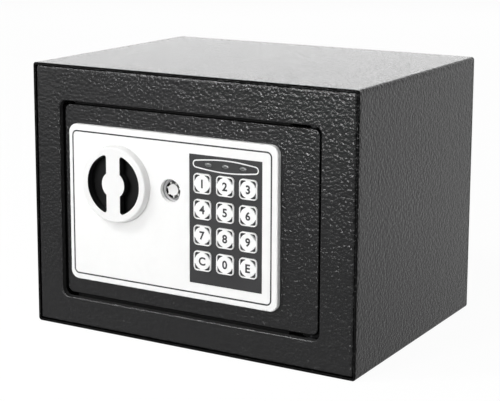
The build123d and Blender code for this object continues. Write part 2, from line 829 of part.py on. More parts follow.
# Bolt carriage: the plate that joins the bolts, with an arm and a tooth that the solenoid blocks
stud_x = bolt_end + stud_from_joint
studs_at = [(stud_x, bolt_zs[0] + stud_lower_dz), (stud_x, bolt_zs[1] + stud_upper_dz)]
with BuildPart() as bolt_carriage:
    boxed(carriage_left, carriage_right, carriage_front, carriage_back, carriage_bottom, carriage_top)
    arm_bottom = tooth_top - tooth_h
    arm_top = arm_bottom + arm_h
    tooth_right = tooth_left + tooth_w
    boxed(carriage_right, tooth_right, carriage_front, carriage_back, arm_bottom, arm_top)
    boxed(tooth_left, tooth_right, carriage_front, tooth_back, arm_bottom, tooth_top)
    slot_half = crank_pin_d / 2 + crank_play
    slot_x = crank_at[0][0]
    slot_bottom = knob_z + crank_low - crank_pin_d / 2 - slot_end_play
    slot_top = knob_z + crank_r + crank_pin_d / 2 + slot_end_play
    cut_box(slot_x - slot_half, slot_x + slot_half, carriage_front, carriage_back, slot_bottom, slot_top)
    stud_half = stud_d / 2 + move_gap
    for x, z in studs_at:
        cut_box(x - stud_half, x + stud_half + bolt_travel, carriage_front, carriage_back,
                z - stud_half, z + stud_half)
bolt_carriage.part.label = "bolt_carriage"
export_step(bolt_carriage.part, "parts/bolt_carriage.step")

# Guide screws: shouldered studs in the door on which the slots of the carriage slide
with BuildPart() as guide_screws:
    collar_back = carriage_front - move_gap
    head_front = carriage_back + move_gap
    rod(studs_at, stud_collar_d / 2, door_back, collar_back)
    rod(studs_at, stud_d / 2, collar_back, head_front)
    rod(studs_at, stud_head_d / 2, head_front, head_front + stud_head_t)
guide_screws.part.label = "guide_screws"
export_step(guide_screws.part, "parts/guide_screws.step")

# Bolt guide: the angle on the back of the door that the bolts slide through
with BuildPart() as bolt_guide:
    guide_low = bolt_zs[0] - bolt_d / 2 - guide_margin
    guide_high = bolt_zs[1] + bolt_d / 2 + guide_margin
    guide_back = door_back + guide_reach
    boxed(guide_left, guide_right, door_back, guide_back, guide_low, guide_high)
    foot_right = guide_right + guide_foot
    foot_back = bolt_y - bolt_d / 2 - move_gap
    boxed(guide_right, foot_right, door_back, foot_back, guide_low, guide_high)
    with BuildSketch(Plane.YZ.offset(guide_left)):
        with Locations(*[(bolt_y, z) for z in bolt_zs]):
            Circle(bolt_d / 2 + bore_gap)
    extrude(amount=guide_t, mode=Mode.SUBTRACT)
bolt_guide.part.label = "bolt_guide"
export_step(bolt_guide.part, "parts/bolt_guide.step")

# Lock body: the flanged barrel of the override lock, bored for its core
lock_at = [(lock_x, lock_z)]
core_r = keyway_outer_d / 2
plug_front = lock_front + keyway_depth
with BuildPart() as lock_body:
    rod(lock_at, lock_flange_d / 2, lock_front, lock_seat)
    rod(lock_at, lock_r, lock_seat, lock_back)
    rod(lock_at, core_r, lock_front, lock_back, Mode.SUBTRACT)
    with BuildSketch(facing(lock_front + lock_pin_recess)):
        with Locations(*lock_at):
            Circle(lock_flange_d / 2)
            Circle(lock_collar_d / 2, mode=Mode.SUBTRACT)
    extrude(amount=lock_pin_recess, mode=Mode.SUBTRACT)
    notch_half = keyway_notch_w / 2
    notch_top = lock_z + core_r + keyway_notch_h
    cut_box(lock_x - notch_half, lock_x + notch_half, lock_front, plug_front, lock_z, notch_top)
lock_body.part.label = "lock_body"
export_step(lock_body.part, "parts/lock_body.step")

# Lock nut, which clamps the barrel behind the door
with BuildPart() as lock_nut:
    with BuildSketch(facing(door_back + nut_t)):
        with Locations(*lock_at):
            RegularPolygon(nut_flats / 2, 6, major_radius=False, rotation=30)
            Circle(lock_r + fit_gap, mode=Mode.SUBTRACT)
    extrude(amount=nut_t)
lock_nut.part.label = "lock_nut"
export_step(lock_nut.part, "parts/lock_nut.step")

# Lock core: the post that the tubular key fits over, on the plug that it turns, with its tail
pin_ring_r = (keyway_outer_d + keyway_inner_d) / 4
with BuildPart() as lock_core:
    rod(lock_at, keyway_inner_d / 2, lock_front, plug_front)
    rod(lock_at, core_r - bore_gap, plug_front, lock_back)
    tail_end = lobe_back + tail_beyond
    rod(lock_at, lock_tail_d / 2, lock_back, tail_end)
    with BuildSketch(facing(plug_front + keyway_depth)):
        with Locations(*lock_at):
            with PolarLocations(pin_ring_r, lock_pin_count, start_angle=90 + 180 / lock_pin_count):
                Circle(lock_pin_d / 2 + bore_gap)
    extrude(amount=keyway_depth, mode=Mode.SUBTRACT)
lock_core.part.label = "lock_core"
export_step(lock_core.part, "parts/lock_core.step")

# Lock pins: seven spring pins that stand in the ring of the keyway
with BuildPart() as lock_pins:
    with BuildSketch(facing(plug_front + keyway_depth - bore_gap)):
        with Locations(*lock_at):
            with PolarLocations(pin_ring_r, lock_pin_count, start_angle=90 + 180 / lock_pin_count):
                Circle(lock_pin_d / 2)
    extrude(amount=2 * keyway_depth - lock_pin_recess - bore_gap)
lock_pins.part.label = "lock_pins"
export_step(lock_pins.part, "parts/lock_pins.step")

# Lock cam: the lobe on the tail, pointing down at rest, that turns under the lift plate
with BuildPart() as lock_cam:
    rod(lock_at, lobe_w / 2 + lobe_t, lobe_front, lobe_back)
    lobe_half = lobe_w / 2
    boxed(lock_x - lobe_half, lock_x + lobe_half, lobe_front, lobe_back, lock_z - lobe_r, lock_z)
    rod(lock_at, lock_tail_d / 2 + bore_gap, lobe_front, lobe_back, Mode.SUBTRACT)
lock_cam.part.label = "lock_cam"
export_step(lock_cam.part, "parts/lock_cam.step")

# Solenoid frame: a steel yoke on the back of the door, open at the back
solenoid_left = plunger_x - solenoid_w / 2
solenoid_right = plunger_x + solenoid_w / 2
solenoid_top = solenoid_bottom + solenoid_h
coil_bottom = solenoid_bottom + solenoid_wall
coil_top = solenoid_top - solenoid_wall
with BuildPart() as solenoid_frame:
    boxed(solenoid_left, solenoid_right, door_back, solenoid_back_y, solenoid_bottom, solenoid_top)
    yoke_front = plunger_y - solenoid_back
    yoke_left = solenoid_left + solenoid_wall
    yoke_right = solenoid_right - solenoid_wall
    cut_box(yoke_left, yoke_right, yoke_front, solenoid_back_y, coil_bottom, coil_top)
    with BuildSketch(Plane.XY.offset(solenoid_bottom)):
        with Locations((plunger_x, plunger_y)):
            Circle(plunger_d / 2 + bore_gap)
    extrude(amount=solenoid_wall, mode=Mode.SUBTRACT)
solenoid_frame.part.label = "solenoid_frame"
export_step(solenoid_frame.part, "parts/solenoid_frame.step")

# Solenoid coil: the wound bobbin in the yoke
with BuildPart() as solenoid_coil:
    with BuildSketch(Plane.XY.offset(coil_bottom)):
        with Locations((plunger_x, plunger_y)):
            Circle(coil_d / 2)
            Circle(plunger_d / 2 + fit_gap, mode=Mode.SUBTRACT)
    extrude(amount=coil_top - coil_bottom)
solenoid_coil.part.label = "solenoid_coil"
export_step(solenoid_coil.part, "parts/solenoid_coil.step")

# Plunger: the rod that the coil lifts, with the plate that the lock cam lifts
with BuildPart() as solenoid_plunger:
    with BuildSketch(Plane.XY.offset(tip_z)):
        with Locations((plunger_x, plunger_y)):
            Circle(plunger_d / 2)
    extrude(amount=solenoid_bottom + plunger_in_coil - tip_z)
    lift_right = plunger_x + lift_plate_side
    lift_front = plunger_y - lift_plate_front
    lift_back = plunger_y + lift_plate_back
    lift_top = lift_bottom + lift_plate_t
    boxed(lift_right - lift_plate_w, lift_right, lift_front, lift_back, lift_bottom, lift_top)
solenoid_plunger.part.label = "solenoid_plunger"
export_step(solenoid_plunger.part, "parts/solenoid_plunger.step")

# Plunger spring: the coil spring that pushes the plunger down
spring_low = lift_top + spring_wire / 2 + bore_gap
spring_rise = spring_room - spring_wire - 2 * bore_gap
spring_path = Helix(
    pitch=spring_rise / spring_turns,
    height=spring_rise,
    radius=(spring_d - spring_wire) / 2,
    center=(plunger_x, plunger_y, spring_low),
)
with BuildPart() as plunger_spring:
    with BuildLine():
        add(spring_path)
    with BuildSketch(Plane(origin=spring_path @ 0, z_dir=spring_path % 0)):
        Circle(spring_wire / 2)
    sweep(is_frenet=True)
plunger_spring.part.label = "plunger_spring"
export_step(plunger_spring.part, "parts/plunger_spring.step")

# Main board, on four stand-offs behind the door
board_right = lock_x + main_board_x
board_left = board_right - main_board_w
board_low = cover_bottom + main_board_low
board_high = lock_z - main_board_below_lock
board_front_y = door_back + board_stand
board_back_y = board_front_y + board_t
with BuildPart() as main_board:
    boxed(board_left, board_right, board_front_y, board_back_y, board_low, board_high)
main_board.part.label = "main_board"
export_step(main_board.part, "parts/main_board.step")

with BuildPart() as board_standoffs:
    standoffs_at = [
        (x, z)
        for x in (board_left + standoff_inset, board_right - standoff_inset)
        for z in (board_low + standoff_inset, board_high - standoff_inset)
    ]
    rod(standoffs_at, standoff_d / 2, door_back, board_front_y)
board_standoffs.part.label = "board_standoffs"
export_step(board_standoffs.part, "parts/board_standoffs.step")

# Parts on the main board: a processor, a capacitor, a buzzer and the reset switch
reset_x = board_right - reset_from_board
reset_z = board_low + reset_low
part_x = board_left + chip_w
with BuildPart() as board_components:
    chip_low = board_high - parts_margin - chip_w
    boxed(part_x - chip_w / 2, part_x + chip_w / 2, board_back_y, board_back_y + chip_t,
          chip_low, chip_low + chip_w)
    rod([(part_x, reset_z)], capacitor_d / 2, board_back_y, board_back_y + capacitor_h)
    buzzer_z = board_high - parts_margin - buzzer_d / 2
    rod([(reset_x, buzzer_z)], buzzer_d / 2, board_back_y, board_back_y + buzzer_h)
    switch_half = switch_w / 2
    boxed(reset_x - switch_half, reset_x + switch_half, board_back_y, board_back_y + switch_h,
          reset_z - switch_half, reset_z + switch_half)
board_components.part.label = "board_components"
export_step(board_components.part, "parts/board_components.step")

# Flat cable between the two boards
with BuildPart() as keypad_ribbon:
    ribbon_start = keypad_x - board_w / 2 + ribbon_in
    ribbon_edge = board_right + fit_gap + ribbon_t
    near_y = board_back + 2 * ribbon_bend
    far_y = board_back_y + 2 * ribbon_bend
    route = [
        (ribbon_start, board_back + ribbon_t / 2),
        (ribbon_start, near_y),
        (ribbon_edge, near_y),
        (ribbon_edge, far_y),
        (board_right - ribbon_in / 2, far_y),
        (board_right - ribbon_in / 2, board_back_y + ribbon_t / 2),
    ]
    with BuildSketch(Plane.XY.offset(board_high - ribbon_from_top - ribbon_w)):
        with BuildLine():
            FilletPolyline(*route, radius=ribbon_bend)
        trace(line_width=ribbon_t)
    extrude(amount=ribbon_w)
keypad_ribbon.part.label = "keypad_ribbon"
export_step(keypad_ribbon.part, "parts/keypad_ribbon.step")

# Battery tray: an open moulded box for four cells, side by side
with BuildPart() as battery_tray:
    tray_left = tray_x - tray_w / 2
    tray_right = tray_x + tray_w / 2
    tray_bottom = tray_z - tray_h / 2
    tray_top = tray_z + tray_h / 2
    boxed(tray_left, tray_right, tray_front, tray_back, tray_bottom, tray_top)
    cut_box(tray_left + tray_wall, tray_right - tray_wall, tray_front + tray_wall, tray_back,
            tray_bottom + tray_wall, tray_top - tray_wall)
battery_tray.part.label = "battery_tray"
export_step(battery_tray.part, "parts/battery_tray.step")

# Cells: four AA batteries standing on end, every second one turned over
first_cell = tray_x - cell_pitch * (cell_count - 1) / 2
with BuildPart() as batteries:
    for number in range(cell_count):
        cell_x = first_cell + number * cell_pitch
        can_length = cell_length - cell_nub_h
        upright = number % 2 == 0
        cell_low = tray_z - cell_length / 2
        can_low = cell_low if upright else cell_low + cell_nub_h
        with BuildSketch(Plane.XY.offset(can_low)):
            with Locations((cell_x, cell_y)):
                Circle(cell_d / 2)
        extrude(amount=can_length)
        nub_low = can_low + can_length if upright else cell_low
        with BuildSketch(Plane.XY.offset(nub_low)):
            with Locations((cell_x, cell_y)):
                Circle(cell_nub_d / 2)
        extrude(amount=cell_nub_h)
batteries.part.label = "batteries"
export_step(batteries.part, "parts/batteries.step")

# Inner cover: the moulded box over the works, with holes for the bolts, the cells and the button
with BuildPart() as inner_cover:
    cover_w = cover_right - cover_left
    cover_h = cover_top - cover_bottom
    plate(cover_x, cover_z, cover_w, cover_h, cover_radius, door_back, cover_back)
    rear = inner_cover.faces().sort_by(Axis.Y)[-1]
    fillet(rear.edges(), radius=cover_edge)
    plate(cover_x, cover_z, cover_w - 2 * cover_wall, cover_h - 2 * cover_wall,
          cover_radius - cover_wall, door_back, cover_inner, Mode.SUBTRACT)
    with BuildSketch(Plane.YZ.offset(cover_left)):
        with Locations(*[(bolt_y, z) for z in bolt_zs]):
            Circle(bolt_d / 2 + move_gap)
    extrude(amount=cover_wall, mode=Mode.SUBTRACT)
    lid_hole_w = tray_w + 2 * fit_gap
    lid_hole_h = tray_h + 2 * fit_gap
    plate(tray_x, tray_z, lid_hole_w, lid_hole_h, cover_edge, cover_inner, cover_back, Mode.SUBTRACT)
    rod([(reset_x, reset_z)], reset_d / 2 + move_gap, cover_inner, cover_back, Mode.SUBTRACT)
    rod(cover_posts, cover_screw_d / 2 + fit_gap, cover_inner, cover_back, Mode.SUBTRACT)
inner_cover.part.label = "inner_cover"
export_step(inner_cover.part, "parts/inner_cover.step")

# Posts on the door that the inner cover is screwed to
with BuildPart() as cover_pillars:
    rod(cover_posts, cover_post_d / 2, door_back, cover_inner)
    screw_tip = cover_inner - cover_screw_bite
    rod(cover_posts, cover_screw_d / 2 + bore_gap, screw_tip - bore_gap, cover_inner, Mode.SUBTRACT)
cover_pillars.part.label = "cover_posts"
export_step(cover_pillars.part, "parts/cover_posts.step")

# Screws of the inner cover
with BuildPart() as cover_screws:
    rod(cover_posts, cover_screw_d / 2, screw_tip, cover_back)
    rod(cover_posts, cover_screw_head_d / 2, cover_back, cover_back + cover_screw_head_t)
cover_screws.part.label = "cover_screws"
export_step(cover_screws.part, "parts/cover_screws.step")

# Battery cover: the lid that lies in the inner cover and comes straight off it
with BuildPart() as battery_cover:
    lid_w = lid_hole_w - 2 * move_gap
    lid_h = lid_hole_h - 2 * move_gap
    plate(tray_x, tray_z, lid_w, lid_h, cover_edge, cover_inner + fit_gap, cover_back)
battery_cover.part.label = "battery_cover"
export_step(battery_cover.part, "parts/battery_cover.step")

# Reset button: the red button that shows beside the battery cover, with a collar inside
with BuildPart() as reset_button:
    collar_end = cover_inner - move_gap
    reset_end = cover_back + reset_proud
    reset_start = board_back_y + switch_h + reset_travel + move_gap
    rod([(reset_x, reset_z)], reset_d / 2, reset_start, reset_end)
    rod([(reset_x, reset_z)], reset_collar_d / 2, collar_end - reset_collar_t, collar_end)
reset_button.part.label = "reset_button"
export_step(reset_button.part, "parts/reset_button.step")
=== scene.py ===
import math
import bmesh
import bpy
from mathutils import Matrix, Vector, geometry


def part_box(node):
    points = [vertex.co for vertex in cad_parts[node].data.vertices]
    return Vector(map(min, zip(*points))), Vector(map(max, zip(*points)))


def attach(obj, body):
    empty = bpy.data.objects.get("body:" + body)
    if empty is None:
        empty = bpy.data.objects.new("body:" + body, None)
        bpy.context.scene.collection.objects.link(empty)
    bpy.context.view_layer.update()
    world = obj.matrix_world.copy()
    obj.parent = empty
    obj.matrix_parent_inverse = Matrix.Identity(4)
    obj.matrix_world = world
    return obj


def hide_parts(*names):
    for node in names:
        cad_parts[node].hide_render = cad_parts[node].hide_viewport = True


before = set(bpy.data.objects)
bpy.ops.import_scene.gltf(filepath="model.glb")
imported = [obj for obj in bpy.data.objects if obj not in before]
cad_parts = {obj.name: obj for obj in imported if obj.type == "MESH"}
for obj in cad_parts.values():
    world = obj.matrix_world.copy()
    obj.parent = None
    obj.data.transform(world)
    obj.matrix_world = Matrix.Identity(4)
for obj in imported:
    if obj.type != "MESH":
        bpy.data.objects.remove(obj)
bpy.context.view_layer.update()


# Cabinet: a wrapped steel sheet with a rear wall and a pressed front frame welded into it.
# All of it is sprayed with one black powder coat, which sets in small leather-like lumps.
# Along the outer edges it is worn dark. Inside the lips of the opening its colour is painted black
# and its roughness raised, as painted shade.
MM = 0.001


def place(tree, kind, values=None, **settings):
    """One node of a tree, with its settings, and its inputs set or joined to another socket."""
    made = tree.nodes.new(kind)
    for name, value in settings.items():
        setattr(made, name, value)
    for socket, value in (values or {}).items():
        if isinstance(value, bpy.types.NodeSocket):
            tree.links.new(value, made.inputs[socket])
        else:
            made.inputs[socket].default_value = value
    return made


def work_out(tree, operation, first, second=0.0):
    """One step of arithmetic in a tree, which gives its result's socket."""
    return place(tree, "ShaderNodeMath", {0: first, 1: second}, operation=operation).outputs[0]


def work_out_point(tree, operation, first, second):
    """One step of arithmetic on points in a tree, which gives its result's socket."""
    return place(tree, "ShaderNodeVectorMath", {0: first, 1: second},
                 operation=operation).outputs[0]


def ranged(tree, share, low, high):
    """A value that goes from low to high while the share goes from 0 to 1."""
    return place(tree, "ShaderNodeMapRange",
                 {"Value": share, "To Min": low, "To Max": high}).outputs[0]


def mixed(tree, share, first, second):
    """A colour between two, which gives its socket."""
    node = place(tree, "ShaderNodeMix", {0: share, 6: first, 7: second}, data_type="RGBA")
    return node.outputs[2]


def surface_point(tree):
    """The point of the surface, in the object's own metres."""
    return place(tree, "ShaderNodeTexCoord").outputs["Object"]


def axes(tree, point):
    """The three sockets of a point's distances along X, Y and Z."""
    return place(tree, "ShaderNodeSeparateXYZ", {0: point}).outputs


def shared_effect(name, takes, gives, kind="ShaderNodeTree"):
    """An empty node group with named inputs and outputs, and its own two end nodes."""
    group = bpy.data.node_groups.new(name, kind)
    for label, socket_type, value in takes:
        socket = group.interface.new_socket(label, in_out="INPUT", socket_type=socket_type)
        if value is not None:
            socket.default_value = value
    for label, socket_type in gives:
        group.interface.new_socket(label, in_out="OUTPUT", socket_type=socket_type)
    return group, group.nodes.new("NodeGroupInput"), group.nodes.new("NodeGroupOutput")


SKIN_FINER, SKIN_SHARE = 3.1, 0.4
DRIFT_PER_METRE = 14.0


def coat_lumps():
    """The powder coat's relief: rounded lumps of uneven shape, with a fine skin on them."""
    group, start, end = shared_effect(
        "coat_lumps",
        [("Lumps per metre", "NodeSocketFloat", 500.0), ("Unevenness", "NodeSocketFloat", 0.0012)],
        [("Height", "NodeSocketFloat"), ("Drift", "NodeSocketFloat")],
    )
    spot = surface_point(group)
    rate = start.outputs["Lumps per metre"]
    warp = place(group, "ShaderNodeTexNoise", {"Vector": spot, "Scale": rate, "Detail": 2.0})
    centred = work_out_point(group, "SUBTRACT", warp.outputs["Color"], (0.5, 0.5, 0.5))
    shift = place(group, "ShaderNodeVectorMath", {0: centred, "Scale": start.outputs["Unevenness"]},
                  operation="SCALE").outputs[0]
    moved = work_out_point(group, "ADD", spot, shift)
    lumps = place(group, "ShaderNodeTexVoronoi",
                  {"Vector": moved, "Scale": rate, "Smoothness": 0.35}, feature="SMOOTH_F1")
    skin_rate = work_out(group, "MULTIPLY", rate, SKIN_FINER)
    skin = place(group, "ShaderNodeTexNoise", {"Vector": spot, "Scale": skin_rate, "Detail": 3.0})
    drift = place(group, "ShaderNodeTexNoise",
                  {"Vector": spot, "Scale": DRIFT_PER_METRE, "Detail": 3.0})
    domes = work_out(group, "SUBTRACT", 1.0, lumps.outputs["Distance"])
    rough = work_out(group, "MULTIPLY", skin.outputs["Fac"], SKIN_SHARE)
    group.links.new(work_out(group, "ADD", domes, rough), end.inputs["Height"])
    group.links.new(drift.outputs["Fac"], end.inputs["Drift"])
    return group


def edge_wear():
    """A mask that is 1 along the edges of a box between two corners and broken up by noise."""
    group, start, end = shared_effect(
        "edge_wear",
        [("Low corner", "NodeSocketVector", (0, 0, 0)),
         ("High corner", "NodeSocketVector", (1, 1, 1)), ("Width", "NodeSocketFloat", 0.002)],
        [("Mask", "NodeSocketFloat")],
    )
    spot = surface_point(group)
    near = work_out_point(group, "SUBTRACT", spot, start.outputs["Low corner"])
    far = work_out_point(group, "SUBTRACT", start.outputs["High corner"], spot)
    across = axes(group, work_out_point(group, "MINIMUM", near, far))
    low = work_out(group, "MINIMUM", across[0], across[1])
    high = work_out(group, "MAXIMUM", across[0], across[1])
    middle = work_out(group, "MAXIMUM", low, work_out(group, "MINIMUM", high, across[2]))
    chips = place(group, "ShaderNodeTexNoise", {"Vector": spot, "Scale": 260.0, "Detail": 4.0})
    reach = work_out(group, "MULTIPLY", start.outputs["Width"],
                     work_out(group, "MULTIPLY", chips.outputs["Fac"], 2.0))
    edge = place(group, "ShaderNodeMapRange",
                 {"Value": middle, "From Min": 0.0, "From Max": reach, "To Min": 1.0,
                  "To Max": 0.0}, interpolation_type="SMOOTHSTEP")
    group.links.new(edge.outputs["Result"], end.inputs["Mask"])
    return group


COAT_LUMPS = coat_lumps()
EDGE_WEAR = edge_wear()
LUMPS_PER_METRE, LUMP_TALL = 520.0, 0.36 * MM
COAT_BLACK = (0.0085, 0.0085, 0.009, 1)
COAT_ROUGHNESS = (0.14, 0.19)
EDGE_DARK, EDGE_METAL = (0.004, 0.004, 0.004, 1), 0.9
# Painted shade inside the lips of the opening: the black it turns to, the roughness it adds, and
# the depth over which it comes in.
LIP_SHADE_BLACK, LIP_SHADE_DULL, LIP_SHADE_FADE = (0.003, 0.003, 0.003, 1), 0.6, 0.5 * MM


def shader_of(material, **constants):
    """A material's Principled shader, with the values that are the same all over it."""
    material.use_nodes = True
    shader = material.node_tree.nodes["Principled BSDF"]
    for name, value in constants.items():
        shader.inputs[name.replace("_", " ")].default_value = value
    return material.node_tree, shader


def powder_coat(name, low, high, worn_width, shade_from=None):
    """Black powder coat for pieces that share one box, worn dark along the edges of that box.
    Behind the given depth the coat is painted black and made duller, as painted shade inside the
    lips of the opening."""
    coat = bpy.data.materials.new(name)
    tree, shader = shader_of(coat, IOR=1.5)
    lumps = place(tree, "ShaderNodeGroup", {"Lumps per metre": LUMPS_PER_METRE},
                  node_tree=COAT_LUMPS)
    worn = place(tree, "ShaderNodeGroup",
                 {"Low corner": low, "High corner": high, "Width": worn_width},
                 node_tree=EDGE_WEAR).outputs[0]
    colour = mixed(tree, worn, COAT_BLACK, EDGE_DARK)
    gloss = ranged(tree, lumps.outputs["Drift"], *COAT_ROUGHNESS)
    # Painted shade: behind the given depth the colour goes to black and the roughness rises.
    if shade_from is not None:
        depth = axes(tree, surface_point(tree))[1]
        lip_shade = place(tree, "ShaderNodeMapRange",
                     {"Value": depth, "From Min": shade_from,
                      "From Max": shade_from + LIP_SHADE_FADE}).outputs[0]
        colour = mixed(tree, lip_shade, colour, LIP_SHADE_BLACK)
        gloss = work_out(tree, "ADD", gloss, work_out(tree, "MULTIPLY", lip_shade, LIP_SHADE_DULL))
    bump = place(tree, "ShaderNodeBump",
                 {"Height": lumps.outputs["Height"], "Strength": 1.0, "Distance": LUMP_TALL})
    tree.links.new(colour, shader.inputs["Base Color"])
    tree.links.new(work_out(tree, "MULTIPLY", worn, EDGE_METAL), shader.inputs["Metallic"])
    tree.links.new(gloss, shader.inputs["Roughness"])
    tree.links.new(bump.outputs[0], shader.inputs["Normal"])
    return coat


def dress(material, *nodes):
    """Gives CAD nodes their material, and one material to each of their slots."""
    for name in nodes:
        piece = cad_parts[name]
        if not piece.material_slots:
            piece.data.materials.append(material)
        for slot in piece.material_slots:
            slot.material = material


CABINET_WORN, LIP_SHADE_START = 4.0 * MM, 0.6 * MM
shell_low, shell_high = (tuple(corner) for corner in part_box("body_shell"))
dress(powder_coat("cabinet_coat", shell_low, shell_high, CABINET_WORN), "body_shell", "back_panel")
# The front frame's lips, behind its front face, carry painted shade.
dress(powder_coat("front_frame_coat_with_lip_shade", shell_low, shell_high, CABINET_WORN,
                  shade_from=shell_low[1] + LIP_SHADE_START), "front_frame")


# Hinge: blackened steel pins in two steel blocks on the door, with a thin washer below; pins and
# washer are kept dark as painted shade in the door gap.
# The blocks, brackets, rail and stops round the door are dull steel painted near-black, as shade in
# the gap round the door.
# Most other bare metal has a zinc finish, with fine streaks and dull patches, made here too.
def fine_grain():
    """Grain of a surface: a fine height, which may be drawn out along one way, and slow patches."""
    group, start, end = shared_effect(
        "fine_grain",
        [("Scale", "NodeSocketFloat", 1500.0), ("Draw", "NodeSocketVector", (1, 1, 1)),
         ("Patch scale", "NodeSocketFloat", 40.0)],
        [("Grain", "NodeSocketFloat"), ("Patches", "NodeSocketFloat")],
    )
    spot = surface_point(group)
    drawn = work_out_point(group, "MULTIPLY", spot, start.outputs["Draw"])
    grain = place(group, "ShaderNodeTexNoise",
                  {"Vector": drawn, "Scale": start.outputs["Scale"], "Detail": 3.0})
    patches = place(group, "ShaderNodeTexNoise",
                    {"Vector": spot, "Scale": start.outputs["Patch scale"], "Detail": 4.0,
                     "Distortion": 0.4})
    wide = place(group, "ShaderNodeMapRange",
                 {"Value": patches.outputs["Fac"], "From Min": 0.3, "From Max": 0.7})
    group.links.new(grain.outputs["Fac"], end.inputs["Grain"])
    group.links.new(wide.outputs["Result"], end.inputs["Patches"])
    return group


FINE_GRAIN = fine_grain()
GRAIN_STRENGTH, MARKED_SHADE = 0.6, 0.93


def finish_of(name, colour, second, rough, grain, depth, draw=(1, 1, 1), patch=40.0, marks=None,
              **constants):
    """A finish with two near colours, a range of roughness, and a relief of a depth in metres."""
    finish = bpy.data.materials.new(name)
    tree, shader = shader_of(finish, **constants)
    surface = place(tree, "ShaderNodeGroup", {"Scale": grain, "Draw": draw, "Patch scale": patch},
                    node_tree=FINE_GRAIN)
    hue = mixed(tree, surface.outputs["Patches"], (*colour, 1), (*second, 1))
    gloss = ranged(tree, surface.outputs["Patches"], *rough)
    if marks:
        touched = place(tree, "ShaderNodeGroup", node_tree=marks)
        gloss = work_out(tree, "ADD", gloss, touched.outputs["Gloss change"])
        marked = (*(MARKED_SHADE * part for part in colour), 1)
        hue = mixed(tree, touched.outputs["Mask"], hue, marked)
    bump = place(tree, "ShaderNodeBump", {"Height": surface.outputs["Grain"],
                                          "Strength": GRAIN_STRENGTH, "Distance": depth})
    tree.links.new(hue, shader.inputs["Base Color"])
    tree.links.new(gloss, shader.inputs["Roughness"])
    tree.links.new(bump.outputs[0], shader.inputs["Normal"])
    return finish


zinc = finish_of("zinc_plate", (0.60, 0.61, 0.64), (0.50, 0.51, 0.53), (0.25, 0.42), 900.0,
                 0.02 * MM, draw=(1, 1, 6), Metallic=1.0)
# Blackened steel for the hinge pins and washer, with its colour kept dark as painted shade in the
# door gap.
gap_shade_blackened = finish_of("blackened_steel", (0.030, 0.030, 0.032), (0.045, 0.045, 0.047), (0.35, 0.5),
                      1200.0, 0.02 * MM, draw=(1, 1, 6), Metallic=0.9)
dress(gap_shade_blackened, "hinge_pins", "hinge_washer")
# Near-black, dull paint on the parts seen through the door gap: painted shade.
gap_shade_black = finish_of("gap_shade_black_steel", (0.003, 0.003, 0.003), (0.004, 0.004, 0.004),
                       (0.6, 0.75), 1400.0, 0.02 * MM, IOR=1.25)
dress(gap_shade_black, "hinge_blocks", "hinge_brackets", "strike_rail", "door_stops")


# Floor mat: a needled grey felt sheet, cut with two round holes and laid on the cabinet's floor.
# It stands for the plain CAD mat, and its cut edges are slightly rounded.
# Pressed and moulded shapes are made here too: an outline with walls, edges and holes.
UPRIGHT = Matrix(((1, 0, 0), (0, 0, 1), (0, 1, 0)))
FLAT = Matrix.Identity(3)


def rounded(x, z, width, height, radius, steps=6):
    """Outline of a rectangle with rounded corners, anticlockwise, in millimetres."""
    points = []
    for turn, (side, up) in enumerate(((1, 1), (-1, 1), (-1, -1), (1, -1))):
        middle = Vector((x + side * (width / 2 - radius), z + up * (height / 2 - radius)))
        for step in range(steps + 1):
            angle = math.radians(90 * (turn + step / steps))
            points.append(middle + radius * Vector((math.cos(angle), math.sin(angle))))
    return points


def circle(x, z, radius, steps=48):
    """Outline of a circle, anticlockwise, in millimetres."""
    angles = [2 * math.pi * step / steps for step in range(steps)]
    return [Vector((x + radius * math.cos(a), z + radius * math.sin(a))) for a in angles]


def grown(outline, distance):
    """An outline moved outwards by a distance."""
    moved = []
    earlier, later = outline[-1:] + outline[:-1], outline[1:] + outline[:1]
    for before, point, after in zip(earlier, outline, later):
        first, second = (point - before).normalized(), (after - point).normalized()
        way = Vector((first.y + second.y, -first.x - second.x)).normalized()
        lean = max(0.5, way.dot(Vector((first.y, -first.x))))
        moved.append(point + way * (distance / lean))
    return moved


def ring_of_points(mesh, outline, depth, turn):
    """A mesh's points along an outline at a depth, in metres."""
    return [mesh.verts.new((turn @ Vector((p.x, p.y, depth))) * MM) for p in outline]


def join_rings(mesh, first, second):
    """The band of faces between two rings with as many points each."""
    for n in range(len(first)):
        mesh.faces.new((first[n - 1], first[n], second[n], second[n - 1]))


def fill_between(mesh, rings, turn):
    """Closes a flat face that is bounded by an outer ring and the rings of its holes."""
    points = [vertex for ring in rings for vertex in ring]
    flat_rings = [[(turn.inverted() @ vertex.co / MM).to_2d().to_3d() for vertex in ring]
                  for ring in rings]
    for face in geometry.tessellate_polygon(flat_rings):
        mesh.faces.new([points[n] for n in face])


def wall_of(mesh, outline, levels, turn):
    """The rings of a wall, one at each level, with the faces between them."""
    rings = [ring_of_points(mesh, grown(outline, by) if by else outline, depth, turn)
             for by, depth in levels]
    for first, second in zip(rings, rings[1:]):
        join_rings(mesh, first, second)
    return rings


def moulded(mesh, outline, levels, holes=(), hole_levels=(), through=False, turn=UPRIGHT):
    """A closed shape. Its wall is the outline at each level, which is how far the outline is
    grown and its depth, from the front to the back. Each hole has such levels too."""
    wall = wall_of(mesh, outline, levels, turn)
    openings, ends = [], []
    for hole in holes:
        sides = wall_of(mesh, hole, hole_levels, turn)
        openings.append(sides[0])
        if through:
            ends.append(sides[-1])
        else:
            fill_between(mesh, [sides[-1]], turn)
    fill_between(mesh, [wall[0], *openings], turn)
    fill_between(mesh, [wall[-1], *ends], turn)


